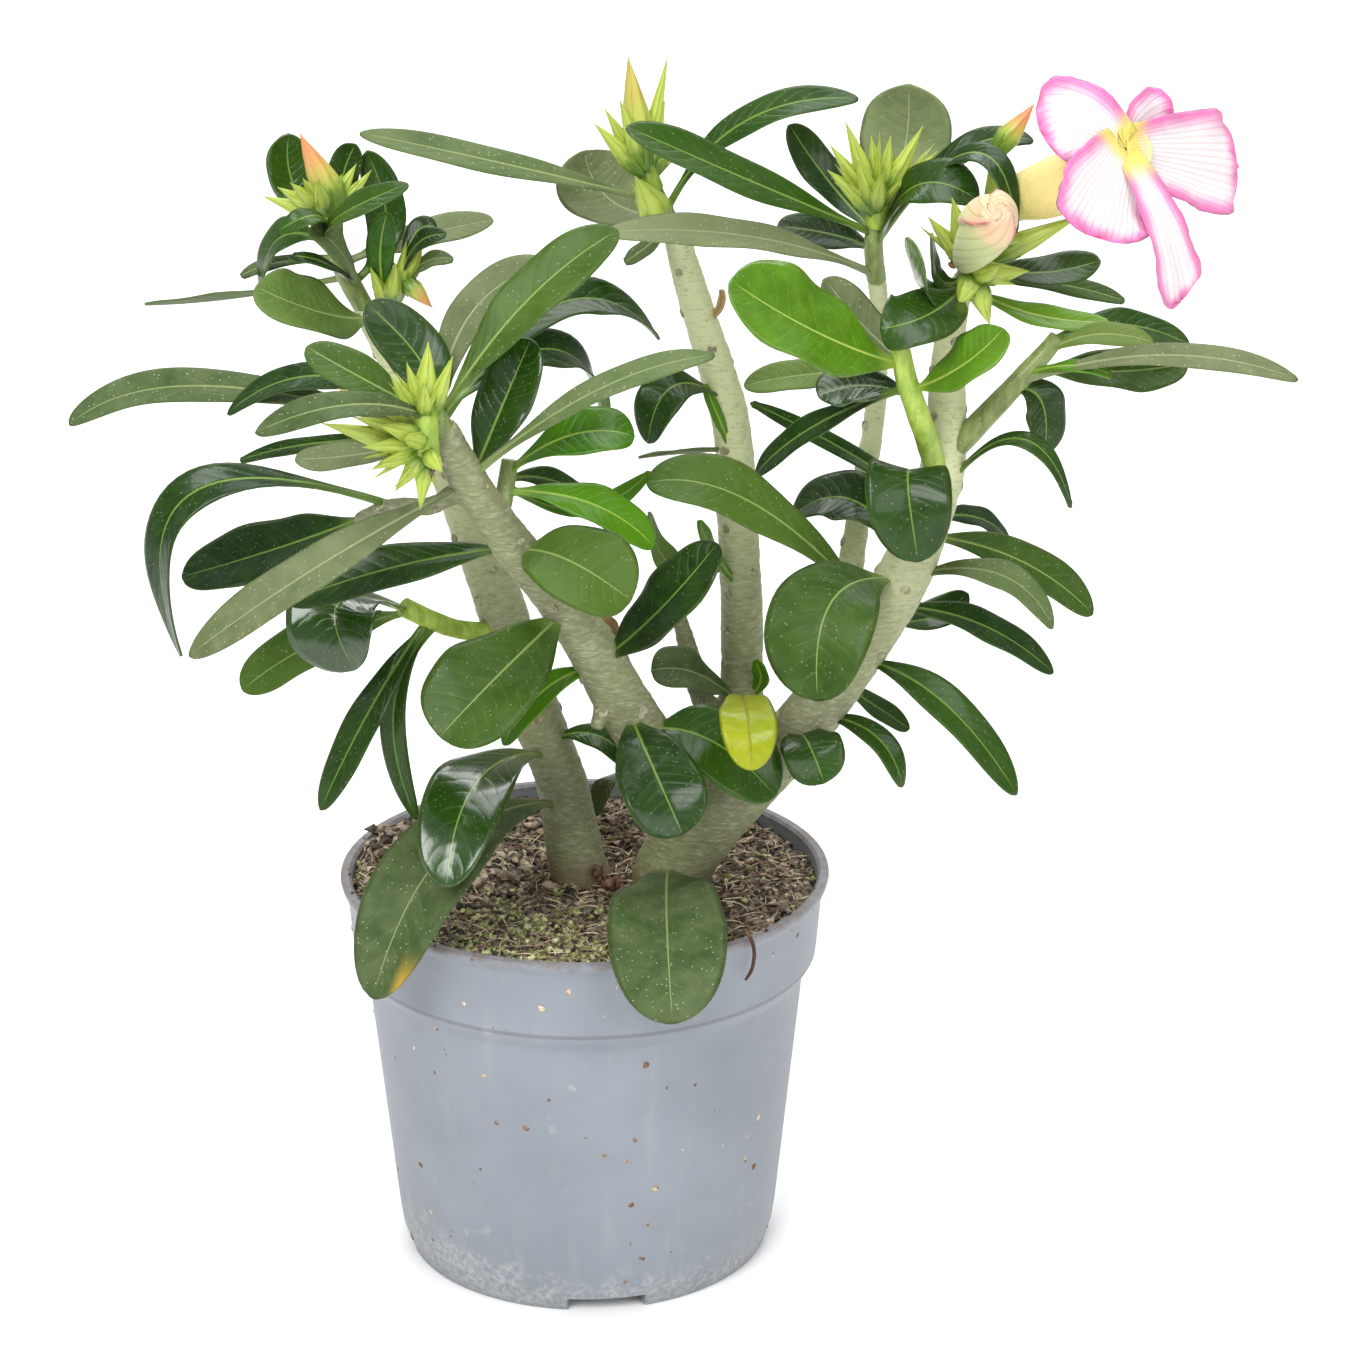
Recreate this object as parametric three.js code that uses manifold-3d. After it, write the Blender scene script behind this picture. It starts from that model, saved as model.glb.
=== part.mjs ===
// A potted desert rose: two stems of one adenium planting in a 12 cm grow pot.
// Millimetres, +Z up. The origin is the centre of the pot's underside.
// +X is to the right and +Y goes away from someone who faces the front of the pot.

import * as THREE from "three";
import * as BufferGeometryUtils from "three/addons/utils/BufferGeometryUtils.js";
import Module from "manifold-3d";

const wasm = await Module();
wasm.setup();

// The pot
const POT_HEIGHT = 98.5;
const RIM_RADIUS = 60;
const RIM_LIP = 1.5;
const COLLAR_TOP_RADIUS = 58.5;
const COLLAR_FOOT_RADIUS = 57;
const COLLAR_FOOT_HEIGHT = 79;
const BODY_TOP_RADIUS = 54;
const BODY_TOP_HEIGHT = 74.5;
const BODY_FOOT_RADIUS = 46.75;
const BODY_FOOT_HEIGHT = 6;
const FOOT_RADIUS = 45;
const FOOT_INNER_RADIUS = 42;
const PAD_RADIUS = 16;
const FLOOR_UNDERSIDE = 3;
const POT_WALL = 1.3;
const POT_SIDES = 24;
const NOTCH_COUNT = 4;
const NOTCH_WIDTH = 19;
const NOTCH_HEIGHT = 3.4;
const NOTCH_TURN_DEG = 7;
const NOTCH_REACH = 10;
const DRAIN_COUNT = 8;
const DRAIN_RADIUS = 4;
const DRAIN_CIRCLE_RADIUS = 34;
const DRAIN_SIDES = 8;

// The soil
const SOIL_LEVEL = 94.5;
const SOIL_ROUGHNESS = 1.1;
const CLOD_WAVE = 0.39;
const HEAP_WAVE = 0.16;
const SOIL_MOUND_HEIGHT = 6;
const SOIL_MOUND = new THREE.Vector2(-40, 16);
const SOIL_MOUND_SPREAD = 17;
const SOIL_GAP = 0.4;
const SOIL_RINGS = 4;

// Shared by all the growth
const CLEARANCE = 0.3;
const LEAF_THICKNESS = 0.9;
const PETAL_THICKNESS = 0.8;
const PETIOLE_WIDTH = 2.2;
const LEAF_FOLD = 0.2;
const PETAL_FOLD = 0.12;

// How many sides the round pieces have
const STEM_SIDES = 9;
const LIMB_SIDES = 8;
const TWIG_SIDES = 6;
const BUD_SIDES = 5;

// Outlines, in shares of a blade's length and of its full width
const WIDEST_SHARE = 0.62;
const FOOT_TAPER = 1.25;
const TIP_FULLNESS = 2.3;
const LEAF_CLOSING_SHARE = 1.04;
const PETAL_FOOT_SPREAD = 0.35;
const PETAL_ROUND_FROM = 0.62;
const PETAL_CLOSING_SHARE = 1.04;
const BLADE_SHARES = [0, 0.26, 0.58, 0.86, 1];

// Limits in the making of solids
const SMALL_CHIP = 0.12;
const SAME_POINT = 1e-4;

// The front view that the plant's places were measured in. A place is [across, up, behind]:
// where it lies on the upright plane through the pot's axis, and how far behind that plane it is.
const EYE_ACROSS = 24.1;
const EYE_UP = 488.6;
const EYE_DISTANCE = 939.7;

/** A measured place as a point in space. */
function place([across, up, behind]) {
  const spread = 1 + behind / EYE_DISTANCE;
  return new THREE.Vector3(
    EYE_ACROSS + (across - EYE_ACROSS) * spread,
    behind,
    EYE_UP + (up - EYE_UP) * spread,
  );
}

// Solids

/** A closed geometry as a solid that can be joined and cut. */
function toSolid(geometry) {
  const bare = geometry.index ? geometry.toNonIndexed() : geometry.clone();
  bare.deleteAttribute("normal");
  bare.deleteAttribute("uv");
  const merged = BufferGeometryUtils.mergeVertices(bare, SAME_POINT);
  const corners = merged.index.array;
  const kept = [];
  for (let i = 0; i < corners.length; i += 3) {
    const [a, b, c] = [corners[i], corners[i + 1], corners[i + 2]];
    if (a !== b && b !== c && c !== a) {
      kept.push(a, b, c);
    }
  }
  return new wasm.Manifold(
    new wasm.Mesh({
      numProp: 3,
      vertProperties: Float32Array.from(merged.attributes.position.array),
      triVerts: Uint32Array.from(kept),
    }),
  );
}

/** A solid back as a geometry. */
function toGeometry(solid) {
  const { vertProperties, triVerts } = solid.getMesh();
  const geometry = new THREE.BufferGeometry();
  geometry.setAttribute("position", new THREE.BufferAttribute(new Float32Array(vertProperties), 3));
  geometry.setIndex(new THREE.BufferAttribute(new Uint32Array(triVerts), 1));
  return geometry;
}

function joinAll(solids) {
  return solids.reduce((whole, piece) => whole.add(piece));
}

/** The main body of a cut solid, without the small chips that the cut leaves. */
function mainBody(solid, name) {
  const bodies = solid.decompose();
  bodies.sort((first, second) => second.volume() - first.volume());
  const rest = bodies.slice(1).reduce((sum, body) => sum + body.volume(), 0);
  if (rest > SMALL_CHIP * bodies[0].volume()) {
    const sizes = bodies.map((body) => body.volume().toFixed(1)).join(", ");
    throw new Error(`${name} falls into bodies of ${sizes} cubic millimetres`);
  }
  return bodies[0];
}

/** A geometry from rows of points, joined row to row and closed by a fan at each end. */
function skin(rows) {
  const corners = [];
  const quad = (a, b, c, d) => corners.push(a, b, c, a, c, d);
  const count = rows[0].length;
  for (let row = 0; row < rows.length - 1; row += 1) {
    for (let i = 0; i < count; i += 1) {
      const next = (i + 1) % count;
      quad(rows[row][i], rows[row][next], rows[row + 1][next], rows[row + 1][i]);
    }
  }
  const last = rows.length - 1;
  for (let i = 1; i < count - 1; i += 1) {
    corners.push(rows[0][0], rows[0][i + 1], rows[0][i]);
    corners.push(rows[last][0], rows[last][i], rows[last][i + 1]);
  }
  return new THREE.BufferGeometry().setFromPoints(corners);
}

// A direction that no limb runs along, for the first point of each ring
const LOFT_START = new THREE.Vector3(0.31, -0.9, 0.27);

/** A round limb through centre points, with a radius at each. */
function loft(centres, radii, sides, steps) {
  const path = new THREE.CatmullRomCurve3(centres);
  const widths = new THREE.SplineCurve(radii.map((radius, i) => new THREE.Vector2(i, radius)));
  const rows = [];
  let across = LOFT_START.clone();
  for (let step = 0; step <= steps; step += 1) {
    const t = step / steps;
    const centre = path.getPoint(t);
    const along = path.getTangent(t);
    across = across.clone().addScaledVector(along, -across.dot(along)).normalize();
    const beside = along.clone().cross(across);
    const radius = widths.getPoint(t).y;
    rows.push(
      Array.from({ length: sides }, (_, i) => {
        const turn = (2 * Math.PI * i) / sides;
        return centre
          .clone()
          .addScaledVector(across, radius * Math.cos(turn))
          .addScaledVector(beside, radius * Math.sin(turn));
      }),
    );
  }
  return skin(rows);
}

/** A limb from measured rows of [across, up, behind, width]. */
function limb(rows, grow, sides) {
  const centres = rows.map((row) => place(row));
  const radii = rows.map((row) => row[3] / 2 + grow);
  return toSolid(loft(centres, radii, sides, rows.length - 1));
}

/** How wide an adenium leaf is at a share of its length: narrow foot, broad end, round tip. */
function leafOutline(share) {
  if (share < WIDEST_SHARE) {
    return Math.sin((Math.PI / 2) * (share / WIDEST_SHARE)) ** FOOT_TAPER;
  }
  const pastWidest = (share - WIDEST_SHARE) / (LEAF_CLOSING_SHARE - WIDEST_SHARE);
  return Math.sqrt(1 - pastWidest ** TIP_FULLNESS);
}

/** How wide a petal is at a share of its length: broad, with a blunt round end. */
function petalOutline(share) {
  const spread = PETAL_FOOT_SPREAD + (1 - PETAL_FOOT_SPREAD) * Math.sin((Math.PI / 2) * share);
  const end = Math.max(0, share - PETAL_ROUND_FROM) / (PETAL_CLOSING_SHARE - PETAL_ROUND_FROM);
  return spread * Math.sqrt(1 - end * end);
}

/** A thin blade along a curve through three points, folded a little along its midrib. */
function blade(curve, { width, outline, foot, thickness, fold, roll, facing }) {
  const chord = curve.getPoint(1).sub(curve.getPoint(0)).normalize();
  const sideways = chord.clone().cross(facing).normalize();
  sideways.applyAxisAngle(chord, THREE.MathUtils.degToRad(roll));
  const rows = [];
  for (const share of BLADE_SHARES) {
    const spine = curve.getPoint(share);
    const along = curve.getTangent(share);
    const side = sideways.clone().addScaledVector(along, -sideways.dot(along)).normalize();
    const up = side.clone().cross(along);
    const half = Math.max(width * outline(share), foot) / 2;
    const point = (across, raise) =>
      spine.clone().addScaledVector(side, across).addScaledVector(up, raise);
    const top = thickness / 2;
    rows.push([
      point(-half, fold * half + top),
      point(0, top),
      point(half, fold * half + top),
      point(half, fold * half - top),
      point(0, -top),
      point(-half, fold * half - top),
    ]);
  }
  return toSolid(stripSkin(rows));
}

/** The skin of a folded strip whose rows are three points above and three below. */
function stripSkin(rows) {
  const corners = [];
  const quad = (a, b, c, d) => corners.push(a, b, c, a, c, d);
  for (let row = 0; row < rows.length - 1; row += 1) {
    for (let i = 0; i < 6; i += 1) {
      const next = (i + 1) % 6;
      const [a, b] = [rows[row][i], rows[row][next]];
      const [d, c] = [rows[row + 1][i], rows[row + 1][next]];
      if (i === 3 || i === 4) {
        corners.push(b, c, d, b, d, a);
      } else {
        quad(a, b, c, d);
      }
    }
  }
  const [first, last] = [rows[0], rows[rows.length - 1]];
  for (const [a, b, c, d] of [[0, 1, 4, 5], [1, 2, 3, 4]]) {
    quad(first[d], first[c], first[b], first[a]);
    quad(last[a], last[b], last[c], last[d]);
  }
  return new THREE.BufferGeometry().setFromPoints(corners);
}

/** A curve that starts, passes its middle and ends at three measured places. */
function arc(from, via, to) {
  const [start, middle, end] = [place(from), place(via), place(to)];
  const control = middle.multiplyScalar(2).sub(start.clone().add(end).multiplyScalar(0.5));
  return new THREE.QuadraticBezierCurve3(start, control, end);
}

const LEAF_FACING = new THREE.Vector3(0, -0.6, 0.8);

/** One leaf. grow makes it fatter all round, for the room that its neighbours leave it. */
function leaf({ from, via, to, width, roll = 0 }, grow) {
  return blade(arc(from, via, to), {
    width: width + 2 * grow,
    outline: leafOutline,
    foot: PETIOLE_WIDTH + 2 * grow,
    thickness: LEAF_THICKNESS + 2 * grow,
    fold: LEAF_FOLD,
    roll,
    facing: LEAF_FACING,
  });
}

const BUD_SHARES = [0, 0.42, 1];
const BUD_RADII = [0.34, 0.5, 0.03];

/** One pointed bud, five-sided like its five rolled petals. */
function bud({ from, to, width }, grow) {
  const [foot, tip] = [place(from), place(to)];
  const centres = BUD_SHARES.map((share) => foot.clone().lerp(tip, share));
  const radii = BUD_RADII.map((share) => share * width + grow);
  return toSolid(loft(centres, radii, BUD_SIDES, BUD_SHARES.length - 1));
}

// Materials

const potPlastic = new THREE.MeshStandardMaterial({ color: 0x9aa1ab, roughness: 0.62, metalness: 0 });
const peat = new THREE.MeshStandardMaterial({ color: 0x3a2a20, roughness: 0.95, metalness: 0 });
const bark = new THREE.MeshStandardMaterial({ color: 0x8f927a, roughness: 0.8, metalness: 0 });
const leafGreen = new THREE.MeshStandardMaterial({ color: 0x44682f, roughness: 0.45, metalness: 0 });
const shootGreen = new THREE.MeshStandardMaterial({ color: 0x6f9a35, roughness: 0.5, metalness: 0 });
const budGreen = new THREE.MeshStandardMaterial({ color: 0xb4c552, roughness: 0.55, metalness: 0 });
const petalWhite = new THREE.MeshStandardMaterial({ color: 0xf3dbe6, roughness: 0.6, metalness: 0 });
const budPink = new THREE.MeshStandardMaterial({ color: 0xe9aeb0, roughness: 0.6, metalness: 0 });
const leafYellow = new THREE.MeshStandardMaterial({ color: 0xc9bd2a, roughness: 0.5, metalness: 0 });

// The pot: one thin moulding

function potSolid() {
  const wall = POT_WALL;
  const profile = [
    [0, 0],
    [PAD_RADIUS - FLOOR_UNDERSIDE / 2, 0],
    [PAD_RADIUS, FLOOR_UNDERSIDE],
    [FOOT_INNER_RADIUS - wall, FLOOR_UNDERSIDE],
    [FOOT_INNER_RADIUS, 0],
    [FOOT_RADIUS, 0],
    [BODY_FOOT_RADIUS, BODY_FOOT_HEIGHT],
    [BODY_TOP_RADIUS, BODY_TOP_HEIGHT],
    [COLLAR_FOOT_RADIUS, COLLAR_FOOT_HEIGHT],
    [COLLAR_TOP_RADIUS, POT_HEIGHT - 2 * RIM_LIP],
    [RIM_RADIUS, POT_HEIGHT - RIM_LIP],
    [RIM_RADIUS, POT_HEIGHT],
    [COLLAR_TOP_RADIUS - wall, POT_HEIGHT],
    [COLLAR_FOOT_RADIUS - wall, COLLAR_FOOT_HEIGHT + wall / 2],
    [BODY_TOP_RADIUS - wall, BODY_TOP_HEIGHT + wall / 2],
    [BODY_FOOT_RADIUS - wall, BODY_FOOT_HEIGHT],
    [FOOT_RADIUS - wall, FLOOR_UNDERSIDE + wall],
    [0, FLOOR_UNDERSIDE + wall],
  ];
  const turned = new THREE.LatheGeometry(
    profile.map(([radius, height]) => new THREE.Vector2(radius, height)),
    POT_SIDES,
  );
  turned.rotateX(Math.PI / 2);
  let pot = toSolid(turned);
  for (let i = 0; i < NOTCH_COUNT; i += 1) {
    const turn = -Math.PI / 2 + THREE.MathUtils.degToRad(NOTCH_TURN_DEG) + (2 * Math.PI * i) / NOTCH_COUNT;
    const notch = new THREE.BoxGeometry(NOTCH_REACH, NOTCH_WIDTH, 2 * NOTCH_HEIGHT);
    notch.translate(FOOT_RADIUS, 0, 0);
    notch.rotateZ(turn);
    pot = pot.subtract(toSolid(notch));
  }
  for (let i = 0; i < DRAIN_COUNT; i += 1) {
    const turn = (2 * Math.PI * i) / DRAIN_COUNT;
    const drain = new THREE.CylinderGeometry(DRAIN_RADIUS, DRAIN_RADIUS, 4 * FLOOR_UNDERSIDE, DRAIN_SIDES);
    drain.rotateX(Math.PI / 2);
    drain.translate(DRAIN_CIRCLE_RADIUS * Math.cos(turn), DRAIN_CIRCLE_RADIUS * Math.sin(turn), 0);
    pot = pot.subtract(toSolid(drain));
  }
  return pot;
}

// The soil: fills the pot to just under the rim, rough on top, with a plain hole for each stem

/** A repeatable rough value between -1 and 1 for a place on the soil. */
function roughness(x, y) {
  const clods = Math.sin(x * CLOD_WAVE) * Math.cos(y * CLOD_WAVE);
  const heaps = Math.sin((x - y) * HEAP_WAVE);
  return (clods + heaps) / 2;
}

function soilTop(x, y) {
  const reach = new THREE.Vector2(x, y).distanceTo(SOIL_MOUND) / SOIL_MOUND_SPREAD;
  return SOIL_LEVEL + SOIL_ROUGHNESS * roughness(x, y) + SOIL_MOUND_HEIGHT * Math.exp(-reach * reach);
}

function soilSolid() {
  const inset = POT_WALL + SOIL_GAP;
  const wallRows = [
    [FOOT_RADIUS - inset - SOIL_GAP, FLOOR_UNDERSIDE + POT_WALL + SOIL_GAP],
    [BODY_FOOT_RADIUS - inset, BODY_FOOT_HEIGHT + SOIL_GAP],
    [BODY_TOP_RADIUS - inset, BODY_TOP_HEIGHT + SOIL_GAP],
    [COLLAR_FOOT_RADIUS - inset, COLLAR_FOOT_HEIGHT + POT_WALL],
  ];
  const topRadius = COLLAR_FOOT_RADIUS - POT_WALL;
  const corner = (radius, turn, height) =>
    new THREE.Vector3(
      radius * Math.cos(turn),
      radius * Math.sin(turn),
      height ?? soilTop(radius * Math.cos(turn), radius * Math.sin(turn)),
    );
  const turns = Array.from({ length: POT_SIDES }, (_, i) => (2 * Math.PI * i) / POT_SIDES);
  const rows = wallRows.map(([radius, height]) => turns.map((turn) => corner(radius, turn, height)));
  for (let ring = SOIL_RINGS; ring >= 1; ring -= 1) {
    rows.push(turns.map((turn) => corner((topRadius * ring) / SOIL_RINGS, turn)));
  }
  const corners = [];
  const foot = new THREE.Vector3(0, 0, wallRows[0][1]);
  const peak = corner(0, 0);
  for (let i = 0; i < POT_SIDES; i += 1) {
    const next = (i + 1) % POT_SIDES;
    corners.push(foot, rows[0][next], rows[0][i]);
    for (let row = 0; row < rows.length - 1; row += 1) {
      const [a, b, c, d] = [rows[row][i], rows[row][next], rows[row + 1][next], rows[row + 1][i]];
      corners.push(a, b, c, a, c, d);
    }
    corners.push(rows[rows.length - 1][i], rows[rows.length - 1][next], peak);
  }
  return toSolid(new THREE.BufferGeometry().setFromPoints(corners));
}

// The wood: [across, up, behind, width] down each limb

const LEFT_STEM = [
  [1, 58, 3, 11],
  [0, 90, 2, 15],
  [-2, 100, 2, 14.5],
  [-5.5, 120, 4, 12.8],
  [-10, 134, 5, 12.6],
  [-16, 152, 7, 12.6],
  [-21, 170, 9, 12],
  [-28, 190, 12, 10],
  [-36, 210, 14, 8],
  [-45, 228, 15, 6.4],
  [-51, 241, 15, 5.6],
];
const RIGHT_STEM = [
  [20, 58, 0, 13],
  [20, 90, -1, 18],
  [23, 101, -2, 19],
  [29, 111, -3, 20],
  [40, 122, -4, 17],
  [52, 134, -6, 14.5],
  [61, 147, -8, 14],
  [70, 161, -9, 13.5],
  [77, 174, -9, 13],
  [82, 187, -9, 11.5],
  [85.5, 200, -8, 11],
  [86.5, 212, -6, 9.8],
  [86.5, 225, -3, 8.6],
  [87.5, 238, 0, 7],
  [90, 248, 2, 5.5],
];
const REAR_LIMB = [
  [62, 150, -6, 8],
  [63, 165, 8, 7],
  [66, 190, 21, 6],
  [69.5, 215, 24, 5.4],
  [70, 238, 20, 5],
  [69, 251, 16, 4.6],
];
const MIDDLE_LIMB = [
  [31, 108, 0, 14],
  [37, 128, 8, 12],
  [38.3, 150, 12, 10.8],
  [38, 170, 15, 10.4],
  [37, 190, 17, 10],
  [35.8, 210, 18, 9.4],
  [32, 225, 18, 8.8],
  [28, 238, 17, 8.2],
  [24.5, 250, 16, 7.4],
  [22, 259, 15, 5.8],
];
const FRONT_LIMB = [
  [28, 106, -4, 14],
  [19, 125, -9, 14],
  [11, 139, -14, 13.6],
  [3, 154, -20, 12.4],
  [-6, 168, -26, 11],
  [-16, 181, -32, 10],
  [-24, 193, -37, 9.2],
  [-30, 204, -41, 8.4],
  [-33, 211, -43, 7],
];
const FRONT_TWIG = [
  [-27, 197, -38, 5],
  [-36, 191.5, -35, 4.4],
  [-45, 191.5, -32, 4],
  [-54, 188, -28, 3.2],
];
const CUT_STUB = [
  [6, 147, -17, 5],
  [4.5, 141, -20, 4],
  [3, 134.5, -22, 3.4],
];
const BROWN_TWIG = [
  [36, 133, 5, 7],
  [29, 142, 8, 6],
  [26, 153, 10, 5.2],
  [23, 164, 11, 4],
];

function leftWood(grow) {
  return limb(LEFT_STEM, grow, STEM_SIDES);
}

function rightWood(grow) {
  return joinAll([
    limb(RIGHT_STEM, grow, STEM_SIDES),
    limb(REAR_LIMB, grow, TWIG_SIDES),
    limb(MIDDLE_LIMB, grow, LIMB_SIDES),
    limb(FRONT_LIMB, grow, LIMB_SIDES),
    limb(FRONT_TWIG, grow, TWIG_SIDES),
    limb(CUT_STUB, grow, TWIG_SIDES),
    limb(BROWN_TWIG, grow, TWIG_SIDES),
  ]);
}

// Leafy shoots: young green stems with the leaves that grow from them

const UPPER_LEFT_SHOOT = {
  stems: [
    [[-50, 239, 15, 5], [-54.5, 248, 14, 5.2], [-57, 256, 14, 5], [-59, 263, 13, 4]],
  ],
  leaves: [
    { from: [-60, 258, 14], via: [-66.5, 270, 19], to: [-67, 281.5, 18], width: 11 },
    { from: [-56, 258, 16], via: [-55, 270, 21], to: [-51.5, 279, 21], width: 8 },
    { from: [-52, 247, 15], via: [-45, 260, 22], to: [-49, 277.5, 22], width: 10 },
    { from: [-58.5, 257, 12], via: [-55.5, 262, -4], to: [-39.5, 269.5, -6], width: 9 },
    { from: [-58.5, 257, 12], via: [-61, 262, -2], to: [-70, 258.5, -4], width: 6 },
    { from: [-59, 256, 14], via: [-70, 256.5, 22], to: [-74.5, 243.5, 24], width: 12 },
    { from: [-50, 237.5, 15], via: [-61.5, 239, 0], to: [-76, 245, -4], width: 20 },
    { from: [-52.5, 246, 14], via: [-55.5, 253, 3], to: [-62.5, 259.5, 1], width: 10 },
    { from: [-52.5, 246, 14], via: [-59, 250.5, -1], to: [-67, 252.5, -3], width: 4.5 },
    { from: [-54, 248, 14], via: [-80, 243, 28], to: [-102, 241, 30], width: 9, roll: 55 },
    { from: [-56, 252, 14], via: [-70, 251, 28], to: [-79, 247.5, 29], width: 5 },
    { from: [-55, 251, 14], via: [-38, 257, 24], to: [-20, 261, 26], width: 9 },
  ],
};
const UPPER_LEFT_BUDS = {
  stems: [[[-59, 260.5, 13, 5.4], [-59.5, 266, 11, 5.4]]],
  buds: [
    { from: [-56, 263, 11], to: [-64.3, 281.5, 7], width: 7.8 },
    { from: [-60, 262, 10], to: [-73.5, 266.8, 6], width: 4 },
    { from: [-60, 263, 9], to: [-70, 269, 4], width: 4 },
    { from: [-60, 264, 9], to: [-67, 270, 2], width: 3.8 },
    { from: [-59.5, 264, 10], to: [-64, 271, 3], width: 4 },
    { from: [-59, 263, 10], to: [-61, 270.5, 1], width: 4 },
    { from: [-58, 263, 12], to: [-55, 272, 11], width: 4 },
    { from: [-58, 263, 13], to: [-51.5, 274.5, 14], width: 4.4 },
    { from: [-57, 262, 13], to: [-48, 273, 13], width: 4 },
  ],
};
const UPPER_LEFT_SIDE_SHOOT = {
  stems: [[[-47, 233, 15, 4], [-44.5, 240, 12, 4], [-41, 247, 9, 4.4]]],
  leaves: [
    { from: [-45, 240, 12], via: [-46.5, 252, 5], to: [-44.5, 263, 3], width: 7 },
    { from: [-42, 246, 9], via: [-38, 255, 4], to: [-31, 257.5, 2], width: 5.5 },
    { from: [-42, 247, 10], via: [-38, 258, 15], to: [-33, 258.5, 15], width: 6 },
    { from: [-41, 245, 9], via: [-36, 251, 6], to: [-29.5, 251.5, 6], width: 5 },
  ],
  buds: [
    { from: [-45, 240, 11], to: [-49, 250, 4], width: 4 },
    { from: [-44, 241, 10], to: [-43, 251, 2], width: 4.4 },
    { from: [-42, 244, 9], to: [-40.5, 256, 6], width: 4.2 },
    { from: [-41, 246, 9], to: [-36.5, 256.5, 6], width: 4.4 },
    { from: [-41, 247, 8], to: [-34.5, 240, 5], width: 4.6 },
  ],
};
const FRONT_SHOOT = {
  stems: [[[-32, 208, -42.5, 6.5], [-35, 214, -44, 6], [-36, 218, -45, 4.6]]],
  leaves: [
    { from: [-35, 214, -43], via: [-37, 226, -32], to: [-50, 241, -28], width: 14 },
    { from: [-35, 214, -43], via: [-50, 222, -46], to: [-64.5, 230.5, -44], width: 11 },
    { from: [-35, 213, -42], via: [-61, 223.5, -27], to: [-83.5, 214, -24], width: 9 },
    { from: [-34, 209, -42], via: [-88, 221, -16], to: [-121, 211.5, -18], width: 10.5 },
    { from: [-33, 212, -44], via: [-53, 216.5, -67], to: [-77, 209.5, -67], width: 8.5 },
    { from: [-34, 208, -41], via: [-62, 207, -24], to: [-81, 202.5, -20], width: 5 },
    { from: [-34, 208, -42], via: [-54, 204, -38], to: [-68, 203, -38], width: 8 },
    { from: [-34, 211, -42], via: [-26, 238, -18], to: [-7, 250.5, -14], width: 11 },
    { from: [-33, 212, -42], via: [-5, 241, -3], to: [18.5, 232.5, -1], width: 13 },
    { from: [-33, 214, -43], via: [-13, 241, -38], to: [9, 258.5, -32], width: 14 },
    { from: [-34.5, 213, -42.5], via: [-8, 230, -12], to: [6, 213.5, -12], width: 14 },
  ],
};
const FRONT_BUDS = {
  stems: [[[-36, 219, -47, 5], [-37.5, 212, -51, 7], [-37, 204, -49, 6.5]]],
  buds: [
    { from: [-37.5, 212, -50], to: [-45, 224, -54], width: 3.8 },
    { from: [-37.5, 214, -49], to: [-41, 227, -52], width: 3.8 },
    { from: [-37, 214, -49], to: [-35.8, 232, -49], width: 5.8 },
    { from: [-36, 213, -49], to: [-30, 228.5, -52], width: 4.4 },
    { from: [-38, 211, -51], to: [-50, 217.5, -57], width: 4.2 },
    { from: [-37, 213, -51], to: [-57.5, 220.5, -54], width: 4.2 },
    { from: [-39, 206, -51], to: [-61.5, 212, -60], width: 5.4 },
    { from: [-38, 209, -51], to: [-54, 213.5, -58], width: 4.4 },
    { from: [-38, 209, -52], to: [-48, 211.5, -64], width: 4.6 },
    { from: [-38, 207, -52], to: [-52, 206, -62], width: 4.4 },
    { from: [-38, 206, -50], to: [-50, 200.5, -57], width: 4.4 },
    { from: [-37, 205, -50], to: [-44.5, 195, -55], width: 4.4 },
    { from: [-37, 204, -49], to: [-38.5, 190.5, -54], width: 4.4 },
  ],
};
const TOP_SHOOT = {
  stems: [[[22.5, 257, 15, 5.8], [19, 264, 14, 5], [16.5, 270, 13, 4.4]]],
  leaves: [
    { from: [17, 266, 13], via: [-18, 274.5, 4], to: [-50.5, 281.5, 2], width: 8.5 },
    { from: [20, 262, 15], via: [7, 266, 24], to: [1, 277.5, 28], width: 22 },
    { from: [20, 263, 15], via: [38, 284, 12], to: [64.5, 289.5, 10], width: 9 },
    { from: [21, 260, 14], via: [16, 255, 6], to: [10.5, 251, 4], width: 4.5 },
  ],
  buds: [{ from: [19.5, 260, 13], to: [13, 271.5, 5], width: 8.4 }],
};
const TOP_BUDS = {
  stems: [[[17, 268.5, 13, 5.6], [14.5, 275, 11, 5.4]]],
  buds: [
    { from: [15, 273, 11], to: [11.5, 299.5, 8], width: 7.8 },
    { from: [15, 273, 10], to: [9.5, 289.5, 4], width: 4.6 },
    { from: [15, 272, 11], to: [6, 287.5, 10], width: 4.6 },
    { from: [15, 272, 10], to: [3.5, 284, 7], width: 4.8 },
    { from: [15, 272, 12], to: [20, 289.5, 12], width: 4.8 },
    { from: [16, 271, 12], to: [23.5, 283.5, 16], width: 4.4 },
  ],
};
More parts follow.
